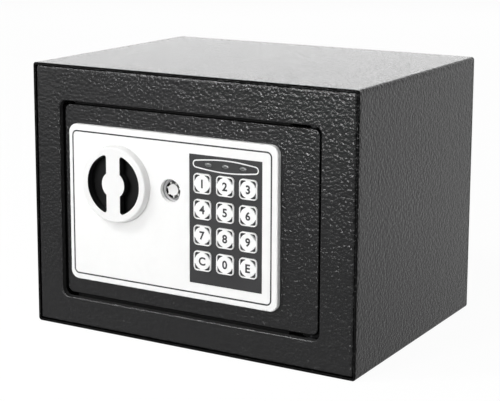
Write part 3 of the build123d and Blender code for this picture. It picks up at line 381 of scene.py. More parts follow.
def finished_piece(name, mesh, material, body, replaces=(), smooth=20):
    """Turns a mesh in the making into a piece that rides on a body, with its faces outwards."""
    bmesh.ops.recalc_face_normals(mesh, faces=mesh.faces)
    data = bpy.data.meshes.new(name)
    mesh.to_mesh(data)
    mesh.free()
    return ready_piece(name, data, material, body, replaces, smooth)


def ready_piece(name, data, material, body, replaces=(), smooth=20):
    """Puts a mesh in the scene as a piece on a body."""
    data.materials.clear()
    data.materials.append(material)
    data.shade_smooth()
    data.set_sharp_from_angle(angle=math.radians(smooth))
    piece = bpy.data.objects.new(name, data)
    bpy.context.scene.collection.objects.link(piece)
    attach(piece, body)
    if replaces:
        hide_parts(*replaces)
    return piece


felt = finish_of("needled_felt", (0.055, 0.055, 0.06), (0.085, 0.085, 0.09), (0.85, 1.0), 2600.0,
                 0.35 * MM, patch=220.0, Sheen_Weight=0.35, Sheen_Roughness=0.5)
MAT_WIDTH, MAT_LENGTH, MAT_THICK = 225.0, 154.0, 2.0
MAT_MIDDLE_Y, MAT_FLOOR, MAT_CORNER, MAT_EDGE = 5.0, 1.5, 1.5, 0.5
ANCHOR_X, MAT_HOLE, MAT_HOLE_EDGE = 60.0, 6.0, 0.3
MAT_TOP = MAT_FLOOR + MAT_THICK
mat_mesh = bmesh.new()
mat_holes = [circle(side * ANCHOR_X, 0, MAT_HOLE) for side in (-1, 1)]
moulded(mat_mesh, rounded(0, MAT_MIDDLE_Y, MAT_WIDTH, MAT_LENGTH, MAT_CORNER),
        [(-MAT_EDGE, MAT_TOP), (0, MAT_TOP - MAT_EDGE), (0, MAT_FLOOR)],
        mat_holes, [(MAT_HOLE_EDGE, MAT_TOP), (0, MAT_TOP - MAT_HOLE_EDGE), (0, MAT_FLOOR)],
        through=True, turn=FLAT)
felt_mat = finished_piece("felt_mat", mat_mesh, felt, "cabinet", ["floor_mat"])


# Door: a flat steel plate in the same black coat, worn along its own edges.
# The bolts, the lock and the cover are all fixed to its back.
DOOR_WORN = 1.0 * MM
door_low, door_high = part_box("door_plate")
dress(powder_coat("door_coat", tuple(door_low), tuple(door_high), DOOR_WORN), "door_plate")


# Control panel: a satin white moulding screwed to the door from behind.
# A thin dark line is printed round it, a few millimetres in from its edge.
SMEAR_DULL = 0.3


def hand_marks():
    """Faint marks of handling: a mask of soft smears, and what they add to the roughness."""
    group, _, end = shared_effect(
        "hand_marks", [], [("Mask", "NodeSocketFloat"), ("Gloss change", "NodeSocketFloat")])
    smears = place(group, "ShaderNodeTexNoise",
                   {"Vector": surface_point(group), "Scale": 55.0, "Detail": 6.0,
                    "Distortion": 1.2})
    few = place(group, "ShaderNodeMapRange", {"Value": smears.outputs["Fac"], "From Min": 0.52,
                                              "From Max": 0.75, "To Max": 0.35}).outputs[0]
    group.links.new(few, end.inputs["Mask"])
    group.links.new(work_out(group, "MULTIPLY", few, SMEAR_DULL), end.inputs["Gloss change"])
    return group


HAND_MARKS = hand_marks()
white = finish_of("white_moulding", (0.84, 0.84, 0.835), (0.825, 0.825, 0.82), (0.30, 0.38), 2200.0,
                  0.02 * MM, marks=HAND_MARKS, IOR=1.48)
dress(white, "control_panel")
print_black = finish_of("printed_black", (0.022, 0.022, 0.024), (0.03, 0.03, 0.032), (0.4, 0.5),
                        3000.0, 0.005 * MM)
PANEL_FRONT = -85.2
LINE_LEFT, LINE_RIGHT, LINE_LOW, LINE_TOP = -85.1, 59.3, 36.3, 129.3
LINE_WIDE, LINE_RADIUS = 0.95, 3.5
PRINT_PROUD, PRINT_DEEP = 0.03, 0.05
line_mesh = bmesh.new()
line_middle = ((LINE_LEFT + LINE_RIGHT) / 2, (LINE_LOW + LINE_TOP) / 2)
line_size = (LINE_RIGHT - LINE_LEFT, LINE_TOP - LINE_LOW)
line_levels = [(0, PANEL_FRONT - PRINT_PROUD), (0, PANEL_FRONT + PRINT_DEEP)]
moulded(line_mesh, rounded(*line_middle, *line_size, LINE_RADIUS), line_levels,
        [rounded(*line_middle, line_size[0] - 2 * LINE_WIDE, line_size[1] - 2 * LINE_WIDE,
                 LINE_RADIUS - LINE_WIDE)], line_levels, through=True)
finished_piece("panel_border_line", line_mesh, print_black, "door")


# Keypad: a dark grey moulding set in the panel, with a white outline printed round three lamps.
# The lamps are pale oval lenses. A silicone mat and a green board with its screws lie behind.
keypad_grey = finish_of("keypad_grey", (0.022, 0.022, 0.0235), (0.027, 0.027, 0.0285), (0.40, 0.50),
                        2500.0, 0.03 * MM, marks=HAND_MARKS)
silicone = finish_of("key_mat_silicone", (0.15, 0.15, 0.16), (0.18, 0.18, 0.19), (0.6, 0.75), 900.0,
                     0.03 * MM)
board_green = finish_of("board_green", (0.02, 0.14, 0.06), (0.03, 0.2, 0.09), (0.3, 0.45), 700.0,
                        0.05 * MM, draw=(1, 1, 5), patch=300.0)
dress(keypad_grey, "keypad_plate")
dress(silicone, "key_mat")
dress(board_green, "keypad_board", "main_board")
dress(zinc, "keypad_screws")
KEYPAD_X, KEYPAD_FRONT = 27.4, -85.0
LAMP_Z, LAMP_PITCH = 117.0, 12.1
LAMP_WIDE, LAMP_TALL = 5.0, 2.3
LENS_LEVELS = [(-0.8, -85.28), (-0.45, -85.22), (-0.2, -85.1), (0, -84.9), (0, -80.9)]
FRAME_HALF_WIDE, FRAME_HALF_TALL, FRAME_END, FRAME_LINE = 22.9, 4.1, 2.5, 0.75


def lamp_frame(half_width, half_middle, half_end, steps=10):
    """Outline round the lamps: round ends, with a top and a bottom that bulge in the middle."""
    points = []
    for sign in (1, -1):
        centre_x = sign * (half_width - half_end)
        for step in range(steps + 1):
            angle = math.radians(-90 + 180 * step / steps)
            points.append(Vector((centre_x + sign * half_end * math.cos(angle),
                                  sign * half_end * math.sin(angle))))
        for step in range(1, steps * 2):
            share = 1 - step / steps
            rise = half_end + (half_middle - half_end) * math.cos(share * math.pi / 2)
            points.append(Vector((centre_x * share, sign * rise)))
    return [Vector((KEYPAD_X + p.x, LAMP_Z + p.y)) for p in points]


print_white = finish_of("printed_white", (0.78, 0.78, 0.78), (0.74, 0.74, 0.74), (0.4, 0.5), 3000.0,
                        0.005 * MM)
frame_mesh = bmesh.new()
frame_levels = [(0, KEYPAD_FRONT - PRINT_PROUD), (0, KEYPAD_FRONT + PRINT_DEEP)]
frame_outline = lamp_frame(FRAME_HALF_WIDE, FRAME_HALF_TALL, FRAME_END)
moulded(frame_mesh, frame_outline, frame_levels, [grown(frame_outline, -FRAME_LINE)], frame_levels,
        through=True)
finished_piece("lamp_frame_print", frame_mesh, print_white, "door")

lens = finish_of("lamp_lens", (0.17, 0.175, 0.175), (0.14, 0.145, 0.145), (0.12, 0.2), 1200.0,
                 0.01 * MM, Coat_Weight=0.5)
lamp_mesh = bmesh.new()
for column in (-1, 0, 1):
    oval = [Vector((KEYPAD_X + column * LAMP_PITCH + LAMP_WIDE / 2 * p.x,
                    LAMP_Z + LAMP_TALL / 2 * p.y)) for p in circle(0, 0, 1, 40)]
    moulded(lamp_mesh, oval, LENS_LEVELS)
finished_piece("lamp_lenses", lamp_mesh, lens, "door", ["indicator_lamps"])


# Keys: twelve white caps with a round face in a square rim, four dark pockets in the corners,
# and a dark numeral or letter. Each rides on its own body, with a foot behind the keypad plate.
KEY_SIZE, KEY_RADIUS, KEY_PITCH = 12.35, 2.5, 15.95
KEY_TOP_ROW = 105.175
KEY_FRONT, KEY_FOOT_FRONT, KEY_BACK = -85.8, -82.9, -82.1
KEY_FOOT, KEY_EDGE, KEY_CREST = 0.8, 0.3, 0.09
POCKET_FLOOR, POCKET_EDGE = -84.9, 0.05
POCKET_START, POCKET_SWEEP = 17, 56
FACE_RADIUS, RIM_INNER, RIM_RADIUS = 5.2, 5.4, 1.5
LETTER_TALL, LETTER_BOLDER = 5.3, 0.03
KEYS = [("1", "1"), ("2", "2"), ("3", "3"), ("4", "4"), ("5", "5"), ("6", "6"), ("7", "7"),
        ("8", "8"), ("9", "9"), ("clear", "C"), ("0", "0"), ("enter", "E")]


def pocket(x, z, turn):
    """Outline of one corner pocket, between the round face and the rim."""
    near, far = [], []
    steps = 12
    for step in range(steps + 1):
        angle = math.radians(POCKET_START + POCKET_SWEEP * step / steps)
        way = Vector((math.cos(angle), math.sin(angle)))
        near.append(way * FACE_RADIUS)
        corner = RIM_INNER - RIM_RADIUS
        reach = RIM_INNER / max(way.x, way.y)
        if min(way.x, way.y) * reach > corner:
            along = way.dot(Vector((corner, corner)))
            reach = along + math.sqrt(along ** 2 - 2 * corner ** 2 + RIM_RADIUS ** 2)
        far.append(way * reach)
    spin = Matrix.Rotation(math.radians(90 * turn), 2)
    return [Vector((x, z)) + spin @ p for p in far + near[::-1]]


def plain_mesh(thing):
    """The mesh that an object shows once its curve or its modifiers are worked out."""
    bpy.context.view_layer.update()
    seen = thing.evaluated_get(bpy.context.evaluated_depsgraph_get())
    return bpy.data.meshes.new_from_object(seen)


def lettering(text, x, z, tall):
    """A raised letter as a mesh in millimetres, upright and centred on its place."""
    curve = bpy.data.curves.new("letter_" + text, "FONT")
    curve.body = text
    curve.resolution_u = 6
    curve.extrude = 0.5
    curve.offset = LETTER_BOLDER
    writing = bpy.data.objects.new("letter", curve)
    bpy.context.scene.collection.objects.link(writing)
    mesh = plain_mesh(writing)
    bpy.data.objects.remove(writing)
    letter = bmesh.new()
    letter.from_mesh(mesh)
    bmesh.ops.remove_doubles(letter, verts=letter.verts, dist=1e-5)
    low = Vector([min(v.co[n] for v in letter.verts) for n in range(3)])
    high = Vector([max(v.co[n] for v in letter.verts) for n in range(3)])
    scale = tall / (high.y - low.y)
    for vertex in letter.verts:
        across = (vertex.co.x - (low.x + high.x) / 2) * scale + x
        up = (vertex.co.y - (low.y + high.y) / 2) * scale + z
        deep = KEY_FRONT - PRINT_PROUD if vertex.co.z > 0 else KEY_FRONT + PRINT_DEEP
        vertex.co = Vector((across, deep, up)) * MM
    return letter


key_white = finish_of("key_white", (0.86, 0.86, 0.855), (0.84, 0.84, 0.835), (0.34, 0.44), 2600.0,
                      0.02 * MM, marks=HAND_MARKS, IOR=1.48)
for number, (key, letter) in enumerate(KEYS):
    key_x = KEYPAD_X + (number % 3 - 1) * KEY_PITCH
    key_z = KEY_TOP_ROW - (number // 3) * KEY_PITCH
    cap = bmesh.new()
    pockets = [pocket(key_x, key_z, turn) for turn in range(4)]
    moulded(cap, rounded(key_x, key_z, KEY_SIZE, KEY_SIZE, KEY_RADIUS),
            [(-KEY_EDGE, KEY_FRONT), (-KEY_CREST, KEY_FRONT + KEY_CREST), (0, KEY_FRONT + KEY_EDGE),
             (0, KEY_FOOT_FRONT), (KEY_FOOT, KEY_FOOT_FRONT), (KEY_FOOT, KEY_BACK)],
            pockets, [(POCKET_EDGE, KEY_FRONT), (0, KEY_FRONT + POCKET_EDGE), (0, POCKET_FLOOR)])
    finished_piece("cap_" + key, cap, key_white, "key_" + key, ["key_" + key])
    inlay = bmesh.new()
    for shape in pockets:
        moulded(inlay, grown(shape, -0.02), [(0, POCKET_FLOOR - 0.12), (0, POCKET_FLOOR - 0.01)])
    finished_piece("cap_pockets_" + key, inlay, print_black, "key_" + key)
    finished_piece("cap_letter_" + key, lettering(letter, key_x, key_z, LETTER_TALL), print_black,
                   "key_" + key)


# Knob: a white moulded grip on a black cup, on a steel spindle that drives the cam.
# The bush that it turns in is nylon.
black_moulding = finish_of("black_moulding", (0.016, 0.016, 0.017), (0.021, 0.021, 0.022),
                           (0.42, 0.55), 1500.0, 0.05 * MM, marks=HAND_MARKS)
nylon = finish_of("natural_nylon", (0.72, 0.72, 0.67), (0.66, 0.66, 0.60), (0.45, 0.6), 1800.0,
                  0.02 * MM)
# The cup is black moulding, and its colour is made darker than the other black mouldings as painted
# shade deep in the wells.
knob_cup_black_and_shade = finish_of("knob_cup_black_and_shade", (0.004, 0.004, 0.0042), (0.006, 0.006, 0.0062), (0.35, 0.45),
                       1500.0, 0.03 * MM, IOR=1.35)


def dark_well_and_shade(finish, middle, radius, mouth, dark):
    """Makes a finish dark inside a well, within a radius of its middle and behind its mouth: the
    black cup in the knob's wells, darkened further as painted shade, and painted shade down the
    lock's bore.
    """
    tree, shader = shader_of(finish)
    spot = surface_point(tree)
    centred = work_out_point(tree, "SUBTRACT", spot, middle)
    flat = work_out_point(tree, "MULTIPLY", centred, (1, 0, 1))
    away = place(tree, "ShaderNodeVectorMath", {0: flat}, operation="LENGTH").outputs["Value"]
    near = work_out(tree, "LESS_THAN", away, radius)
    deep = work_out(tree, "GREATER_THAN", axes(tree, spot)[1], mouth)
    hue = shader.inputs["Base Color"].links[0].from_socket
    darkened_inside = mixed(tree, work_out(tree, "MULTIPLY", near, deep), hue, (*dark, 1))
    tree.links.new(darkened_inside, shader.inputs["Base Color"])


# The walls inside the wells show the black cup, darkened like it as painted shade.
KNOB_MIDDLE = Vector((-50.9, -90.0, 98.15)) * MM
WELL_RADIUS, WELL_MOUTH, WELL_BLACK_AND_SHADE = 19.9 * MM, -89.75 * MM, (0.006, 0.006, 0.0062)
knob_white = finish_of("knob_white", (0.80, 0.80, 0.795), (0.785, 0.785, 0.78), (0.30, 0.38),
                       2200.0, 0.02 * MM, marks=HAND_MARKS, IOR=1.48)
dark_well_and_shade(knob_white, KNOB_MIDDLE, WELL_RADIUS, WELL_MOUTH, WELL_BLACK_AND_SHADE)
dress(knob_white, "knob_face")
dress(knob_cup_black_and_shade, "knob_cup")
dress(zinc, "knob_spindle", "knob_cam", "spindle_clip")
dress(nylon, "knob_bush")


# Override lock: a chromed tubular lock, whose collar, post and pins show through the panel.
# The chrome down its bore is painted dark as shade. Its nut is chromed too, and its cam is a
# zinc-plated stamping.
LOCK_MIDDLE = Vector((-11.6, -82.05, 98.15)) * MM
BORE_RADIUS, BORE_MOUTH, BORE_SHADE_BLACK = 5.2 * MM, -81.85 * MM, (0.01, 0.01, 0.01)
chrome, chrome_with_bore_shade = (finish_of(name, (0.78, 0.78, 0.79), (0.72, 0.72, 0.73), (0.08, 0.2), 1300.0,
                                  0.008 * MM, Metallic=1.0) for name in ("chrome", "chrome_with_bore_shade"))
nickel = finish_of("satin_nickel", (0.86, 0.86, 0.85), (0.80, 0.80, 0.79), (0.42, 0.5), 1500.0,
                   0.01 * MM, Metallic=0.7)
# Painted shade: inside the bore the chrome's colour is mixed to near-black.
dark_well_and_shade(chrome_with_bore_shade, LOCK_MIDDLE, BORE_RADIUS, BORE_MOUTH, BORE_SHADE_BLACK)
dress(chrome_with_bore_shade, "lock_body")
dress(chrome, "lock_nut")
dress(nickel, "lock_core", "lock_pins")
dress(zinc, "lock_cam")


# Bolt work: two polished steel bolts on a plated carriage, in an angle guide with its studs.
polished = finish_of("polished_steel", (0.68, 0.69, 0.70), (0.60, 0.61, 0.62), (0.14, 0.28), 1100.0,
                     0.01 * MM, draw=(0.2, 1, 1), Metallic=1.0)
dress(polished, "locking_bolts")
dress(zinc, "bolt_carriage", "bolt_guide", "guide_screws")


# Solenoid: a plated yoke and plunger, a copper winding and a steel spring.
copper = finish_of("copper_winding", (0.42, 0.14, 0.06), (0.55, 0.22, 0.10), (0.25, 0.4), 420.0,
                   0.25 * MM, draw=(0.05, 0.05, 8), patch=120.0, Metallic=1.0, Coat_Weight=0.4)
dress(copper, "solenoid_coil")
dress(zinc, "solenoid_frame", "solenoid_plunger", "plunger_spring")


# Electronics: the main board on zinc-plated stand-offs, its black parts, and a grey flat cable.
part_black = finish_of("component_black", (0.022, 0.022, 0.023), (0.03, 0.03, 0.031), (0.5, 0.65),
                       1600.0, 0.03 * MM)
ribbon_grey = finish_of("ribbon_grey", (0.32, 0.32, 0.33), (0.38, 0.38, 0.39), (0.4, 0.5), 180.0,
                        0.3 * MM, draw=(0.02, 0.02, 6))
dress(part_black, "board_components")
dress(ribbon_grey, "keypad_ribbon")
dress(zinc, "board_standoffs")


# Cells: four AA batteries in plain dark film, with bare steel ends, in a black moulded tray.
# Every second one stands on its head.
CELL_RADIUS, CELL_LENGTH, CELL_PITCH, CELL_COUNT = 7.1, 50.5, 14.6, 4
NUB_RADIUS, NUB_TALL, FILM_LAP = 2.6, 1.2, 1.0
dress(black_moulding, "battery_tray")
film = finish_of("cell_film", (0.018, 0.04, 0.13), (0.022, 0.05, 0.16), (0.22, 0.32), 900.0,
                 0.02 * MM, Coat_Weight=0.3)
cell_low, cell_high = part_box("batteries")
cell_x, cell_y, cell_z = (cell_low + cell_high) / 2 / MM
can_top = CELL_LENGTH - NUB_TALL
for part, profile, material, slot in (
    ("cell_film", [(CELL_RADIUS - 1.2, 0.9), (CELL_RADIUS - 0.4, 0.5), (CELL_RADIUS, FILM_LAP),
                   (CELL_RADIUS, can_top - FILM_LAP), (CELL_RADIUS - 0.5, can_top - 0.2),
                   (CELL_RADIUS - 1.4, can_top - 0.3)], film, "cell_wrap"),
    ("cell_steel", [(CELL_RADIUS - 1.7, 0.0), (CELL_RADIUS - 1.1, 0.3), (CELL_RADIUS - 1.2, 0.85),
                    (CELL_RADIUS - 1.4, can_top - 0.35), (NUB_RADIUS, can_top - 0.25),
                    (NUB_RADIUS, CELL_LENGTH - 0.3), (NUB_RADIUS - 0.3, CELL_LENGTH)],
     zinc, "zinc_steel"),
):
    cells = bmesh.new()
    for number in range(CELL_COUNT):
        middle = cell_x + (number - (CELL_COUNT - 1) / 2) * CELL_PITCH
        upright = 1 if number % 2 == 0 else -1
        levels = [(radius - CELL_RADIUS, cell_z + upright * (height - CELL_LENGTH / 2))
                  for radius, height in profile]
        moulded(cells, circle(middle, cell_y, CELL_RADIUS, 40), levels, turn=FLAT)
    finished_piece(part, cells, material, "door", ["batteries"])


# Inner cover: a black moulded box over the works, held by four cross-head screws in posts.
# The screws are one shape, placed on points and turned at random.
dress(black_moulding, "inner_cover")
dress(zinc, "cover_posts")


def screw_heads():
    """Cross-head screws on the points of a mesh: a domed head with a cross pressed in it."""
    tree, start, end = shared_effect(
        "screw_heads",
        [("Geometry", "NodeSocketGeometry", None), ("Head width", "NodeSocketFloat", 0.006),
         ("Head height", "NodeSocketFloat", 0.0018), ("Slot width", "NodeSocketFloat", 0.0009),
         ("Slot depth", "NodeSocketFloat", 0.0011), ("Facing", "NodeSocketVector", (0, 0, 0)),
         ("Finish", "NodeSocketMaterial", None)],
        [("Geometry", "NodeSocketGeometry")], "GeometryNodeTree")
    width, height = start.outputs["Head width"], start.outputs["Head height"]
    ball = place(tree, "GeometryNodeMeshUVSphere", {"Segments": 32, "Rings": 16, "Radius": 0.5})
    stretch = place(tree, "ShaderNodeCombineXYZ",
                    {"X": width, "Y": width, "Z": work_out(tree, "MULTIPLY", height, 2.0)})
    dome = place(tree, "GeometryNodeTransform",
                 {"Geometry": ball.outputs["Mesh"], "Scale": stretch.outputs[0]})
    slot_long = work_out(tree, "MULTIPLY", width, 0.56)
    slot_tall = work_out(tree, "MULTIPLY", start.outputs["Slot depth"], 2.0)
    top = place(tree, "ShaderNodeCombineXYZ", {"Z": height})
    below = place(tree, "ShaderNodeCombineXYZ", {"Z": work_out(tree, "MULTIPLY", width, -1.0)})
    cuts = []
    for across in (0, 1):
        sizes = {"X": slot_long, "Y": start.outputs["Slot width"], "Z": slot_tall}
        if across:
            sizes["X"], sizes["Y"] = sizes["Y"], sizes["X"]
        size = place(tree, "ShaderNodeCombineXYZ", sizes)
        bar = place(tree, "GeometryNodeMeshCube", {"Size": size.outputs[0]})
        cuts.append(place(tree, "GeometryNodeTransform",
                          {"Geometry": bar.outputs["Mesh"], "Translation": top.outputs[0]}))
    wide = work_out(tree, "MULTIPLY", width, 2.0)
    base_size = place(tree, "ShaderNodeCombineXYZ", {"X": wide, "Y": wide, "Z": wide})
    base = place(tree, "GeometryNodeMeshCube", {"Size": base_size.outputs[0]})
    cuts.append(place(tree, "GeometryNodeTransform",
                      {"Geometry": base.outputs["Mesh"], "Translation": below.outputs[0]}))
    head = dome.outputs["Geometry"]
    for cut in cuts:
        sawn = place(tree, "GeometryNodeMeshBoolean",
                     {"Mesh 1": head, "Mesh 2": cut.outputs["Geometry"]}, operation="DIFFERENCE")
        head = sawn.outputs["Mesh"]
    turned = place(tree, "FunctionNodeRandomValue", {"Max": math.pi / 2, "Seed": 4},
                   data_type="FLOAT")
    spin = place(tree, "ShaderNodeCombineXYZ", {"Z": turned.outputs[1]})
    spread = place(tree, "GeometryNodeInstanceOnPoints",
                   {"Points": start.outputs["Geometry"], "Instance": head,
                    "Rotation": start.outputs["Facing"]})
    spun = place(tree, "GeometryNodeRotateInstances",
                 {"Instances": spread.outputs["Instances"], "Rotation": spin.outputs[0],
                  "Local Space": True})
    real = place(tree, "GeometryNodeRealizeInstances", {"Geometry": spun.outputs["Instances"]})
    covered = place(tree, "GeometryNodeSetMaterial",
                    {"Geometry": real.outputs["Geometry"], "Material": start.outputs["Finish"]})
    tree.links.new(covered.outputs["Geometry"], end.inputs["Geometry"])
    return tree


SCREW_HEADS = screw_heads()


def grown_on_points(name, points, tree, values):
    """Runs a tree on a mesh of points, in metres, and gives the plain mesh that it makes."""
    seed_mesh = bpy.data.meshes.new(name)
    seed_mesh.from_pydata([Vector(p) * MM for p in points], [], [])
    carrier = bpy.data.objects.new(name + "_points", seed_mesh)
    bpy.context.scene.collection.objects.link(carrier)
    modifier = carrier.modifiers.new(name, "NODES")
    modifier.node_group = tree
    for socket in tree.interface.items_tree:
        if socket.item_type == "SOCKET" and socket.in_out == "INPUT" and socket.name in values:
            modifier[socket.identifier] = values[socket.name]
    made = plain_mesh(carrier)
    carrier.modifiers.clear()
    bpy.data.objects.remove(carrier)
    made.name = name
    return made


TOWARDS_BACK = (math.radians(-90), 0, 0)
screw_low, screw_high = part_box("cover_screws")
HEAD_WIDTH, HEAD_TALL, HEAD_BASE_Y = 6.0, 1.8, -51.0
SLOT_WIDE, SLOT_DEEP = 0.9, 1.1
screw_in = HEAD_WIDTH / 2
cover_screw_places = [(x / MM + sx * screw_in, HEAD_BASE_Y, z / MM + sz * screw_in)
                      for x, sx in ((screw_low.x, 1), (screw_high.x, -1))
                      for z, sz in ((screw_low.z, 1), (screw_high.z, -1))]
heads = grown_on_points("cover_screw_heads", cover_screw_places, SCREW_HEADS, {
    "Head width": HEAD_WIDTH * MM, "Head height": HEAD_TALL * MM, "Slot width": SLOT_WIDE * MM,
    "Slot depth": SLOT_DEEP * MM, "Facing": TOWARDS_BACK, "Finish": zinc})
ready_piece("cover_screw_heads", heads, zinc, "door")
shanks = bmesh.new()
SHANK_RADIUS, SHANK_LONG, SHANK_TIP, SHANK_LAP = 1.5, 9.5, 0.5, 0.1
for x, y, z in cover_screw_places:
    moulded(shanks, circle(x, z, SHANK_RADIUS, 20),
            [(-SHANK_TIP, y - SHANK_LONG), (0, y - SHANK_LONG + SHANK_TIP), (0, y + SHANK_LAP)])
finished_piece("cover_screw_shanks", shanks, zinc, "door", ["cover_screws"])

dress(zinc, "panel_screws")


# Battery cover: the lid over the cells, with a row of moulded grip ridges and a thumb dish.
# It drops into the inner cover, flush with its back.
LID_MIDDLE_X, LID_MIDDLE_Z = 31.1, 89.95
lid_low, lid_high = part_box("battery_cover")
lid_wide, lid_tall = (lid_high.x - lid_low.x) / MM, (lid_high.z - lid_low.z) / MM
lid_front, lid_back = lid_low.y / MM, lid_high.y / MM
DISH_DEEP, DISH_WIDE, DISH_TALL = 0.7, 22.0, 12.0
DISH_Z = LID_MIDDLE_Z + lid_tall / 2 - 11.0
lid = bmesh.new()
moulded(lid, rounded(LID_MIDDLE_X, LID_MIDDLE_Z, lid_wide, lid_tall, 1.0),
        [(-0.35, lid_back), (-0.1, lid_back - 0.1), (0, lid_back - 0.35), (0, lid_front)],
        [rounded(LID_MIDDLE_X, DISH_Z, DISH_WIDE, DISH_TALL, 4.0)],
        [(0.3, lid_back), (0, lid_back - 0.2), (-0.6, lid_back - DISH_DEEP)])
finished_piece("battery_lid", lid, black_moulding, "battery_lid",
               ["battery_cover"])


def grip_ridges():
    """A row of round-topped ridges: one round bar with flat-capped ends, repeated at a pitch."""
    tree, start, end = shared_effect(
        "grip_ridges",
        [("Geometry", "NodeSocketGeometry", None), ("Length", "NodeSocketFloat", 0.016),
         ("Width", "NodeSocketFloat", 0.0008), ("Finish", "NodeSocketMaterial", None)],
        [("Geometry", "NodeSocketGeometry")], "GeometryNodeTree")
    half = work_out(tree, "MULTIPLY", start.outputs["Length"], 0.5)
    near = place(tree, "ShaderNodeCombineXYZ", {"X": work_out(tree, "MULTIPLY", half, -1.0)})
    far = place(tree, "ShaderNodeCombineXYZ", {"X": half})
    line = place(tree, "GeometryNodeCurvePrimitiveLine",
                 {"Start": near.outputs[0], "End": far.outputs[0]})
    section = place(tree, "GeometryNodeCurvePrimitiveCircle",
                    {"Resolution": 12,
                     "Radius": work_out(tree, "MULTIPLY", start.outputs["Width"], 0.5)})
    bar = place(tree, "GeometryNodeCurveToMesh",
                {"Curve": line.outputs[0], "Profile Curve": section.outputs[0], "Fill Caps": True})
    spread = place(tree, "GeometryNodeInstanceOnPoints",
                   {"Points": start.outputs["Geometry"], "Instance": bar.outputs[0]})
    real = place(tree, "GeometryNodeRealizeInstances", {"Geometry": spread.outputs["Instances"]})
    covered = place(tree, "GeometryNodeSetMaterial",
                    {"Geometry": real.outputs["Geometry"], "Material": start.outputs["Finish"]})
    tree.links.new(covered.outputs["Geometry"], end.inputs["Geometry"])
    return tree


RIDGE_COUNT, RIDGE_PITCH, RIDGE_WIDE, RIDGE_LONG = 5, 1.7, 0.8, 15.0
ridge_places = [(LID_MIDDLE_X, lid_back - DISH_DEEP,
                 DISH_Z + (n - (RIDGE_COUNT - 1) / 2) * RIDGE_PITCH) for n in range(RIDGE_COUNT)]
ridges = grown_on_points("battery_lid_ridges", ridge_places, grip_ridges(), {
    "Length": RIDGE_LONG * MM, "Width": RIDGE_WIDE * MM, "Finish": black_moulding})
ready_piece("battery_lid_ridges", ridges, black_moulding, "battery_lid")


# Reset button: a red moulded button beside the battery cover, with a crowned end and a collar.
red = finish_of("red_button", (0.55, 0.02, 0.02), (0.48, 0.015, 0.015), (0.2, 0.32), 1800.0,
                0.02 * MM)
reset_low, reset_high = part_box("reset_button")
reset_x = (reset_low.x + reset_high.x) / 2 / MM
reset_z = (reset_low.z + reset_high.z) / 2 / MM
reset_end, reset_start = reset_high.y / MM, reset_low.y / MM
RESET_RADIUS, COLLAR_RADIUS, COLLAR_BACK, COLLAR_THICK = 3.0, 4.5, -52.8, 1.5
button = bmesh.new()
moulded(button, circle(reset_x, reset_z, RESET_RADIUS, 40),
        [(-1.2, reset_end), (-0.5, reset_end - 0.08), (-0.12, reset_end - 0.3),
         (0, reset_end - 0.7), (0, COLLAR_BACK), (COLLAR_RADIUS - RESET_RADIUS, COLLAR_BACK),
         (COLLAR_RADIUS - RESET_RADIUS, COLLAR_BACK - COLLAR_THICK),
         (0, COLLAR_BACK - COLLAR_THICK), (0, reset_start)])
finished_piece("reset_cap", button, red, "reset", ["reset_button"])


# Studio: a pale floor that keeps the shadow and shows a painted reflection glow in glossy rays, a
# white surround, and five soft lights.
# The camera stands to the front right, as the photograph was taken, with a small shift down.
world = bpy.data.worlds.new("white_surround")
bpy.context.scene.world = world
world.use_nodes = True
sky = world.node_tree
sky_light = sky.nodes["Background"]
rays = place(sky, "ShaderNodeLightPath").outputs
seen = work_out(sky, "MAXIMUM", rays["Is Camera Ray"],
                work_out(sky, "MAXIMUM", rays["Is Glossy Ray"], rays["Is Transmission Ray"]))
SURROUND, FILL = 1.0, 0.14
sky.links.new(ranged(sky, seen, FILL, SURROUND), sky_light.inputs["Strength"])
sky_light.inputs["Color"].default_value = (1, 1, 1, 1)

FLOOR_FRONT, FLOOR_BACK, FLOOR_SIDE, FLOOR_DROP = -0.9, 3.0, 2.5, 0.0003
floor_mesh = bpy.data.meshes.new("studio_floor")
floor_mesh.from_pydata([(-FLOOR_SIDE, FLOOR_FRONT, -FLOOR_DROP),
                        (FLOOR_SIDE, FLOOR_FRONT, -FLOOR_DROP),
                        (FLOOR_SIDE, FLOOR_BACK, -FLOOR_DROP),
                        (-FLOOR_SIDE, FLOOR_BACK, -FLOOR_DROP)], [], [(0, 1, 2, 3)])
floor = bpy.data.objects.new("studio_floor", floor_mesh)
bpy.context.scene.collection.objects.link(floor)
floor_paper = bpy.data.materials.new("studio_paper")
paper, paper_shader = shader_of(floor_paper, Roughness=0.9)
paper_grain = place(paper, "ShaderNodeTexNoise", {"Scale": 900.0})
paper_tone = ranged(paper, paper_grain.outputs["Fac"], 0.80, 0.84)
paper.links.new(paper_tone, paper_shader.inputs["Base Color"])
PAPER_GLOW, GLOW_SHARE = 1.03, 0.93
# Painted reflection: seen in glossy rays, the paper glows dimmer in front and brighter behind,
# which sets how bright the coat's reflections are.
REFLECTION_FRONT_Y, REFLECTION_BACK_Y, REFLECTION_FRONT_GLOW, REFLECTION_BACK_GLOW = -0.4, 0.3, 0.34, 0.66
paper_rays = place(paper, "ShaderNodeLightPath").outputs
painted_reflection_level = place(paper, "ShaderNodeMapRange",
                       {"Value": axes(paper, surface_point(paper))[1], "From Min": REFLECTION_FRONT_Y,
                        "From Max": REFLECTION_BACK_Y, "To Min": REFLECTION_FRONT_GLOW, "To Max": REFLECTION_BACK_GLOW})
glow = place(paper, "ShaderNodeEmission", {"Strength": PAPER_GLOW})
painted_reflection = place(paper, "ShaderNodeEmission", {"Strength": painted_reflection_level.outputs[0]})
watched = work_out(paper, "MULTIPLY", paper_rays["Is Camera Ray"], GLOW_SHARE)
lit_paper = place(paper, "ShaderNodeMixShader",
                  {0: watched, 1: paper_shader.outputs[0], 2: glow.outputs[0]})
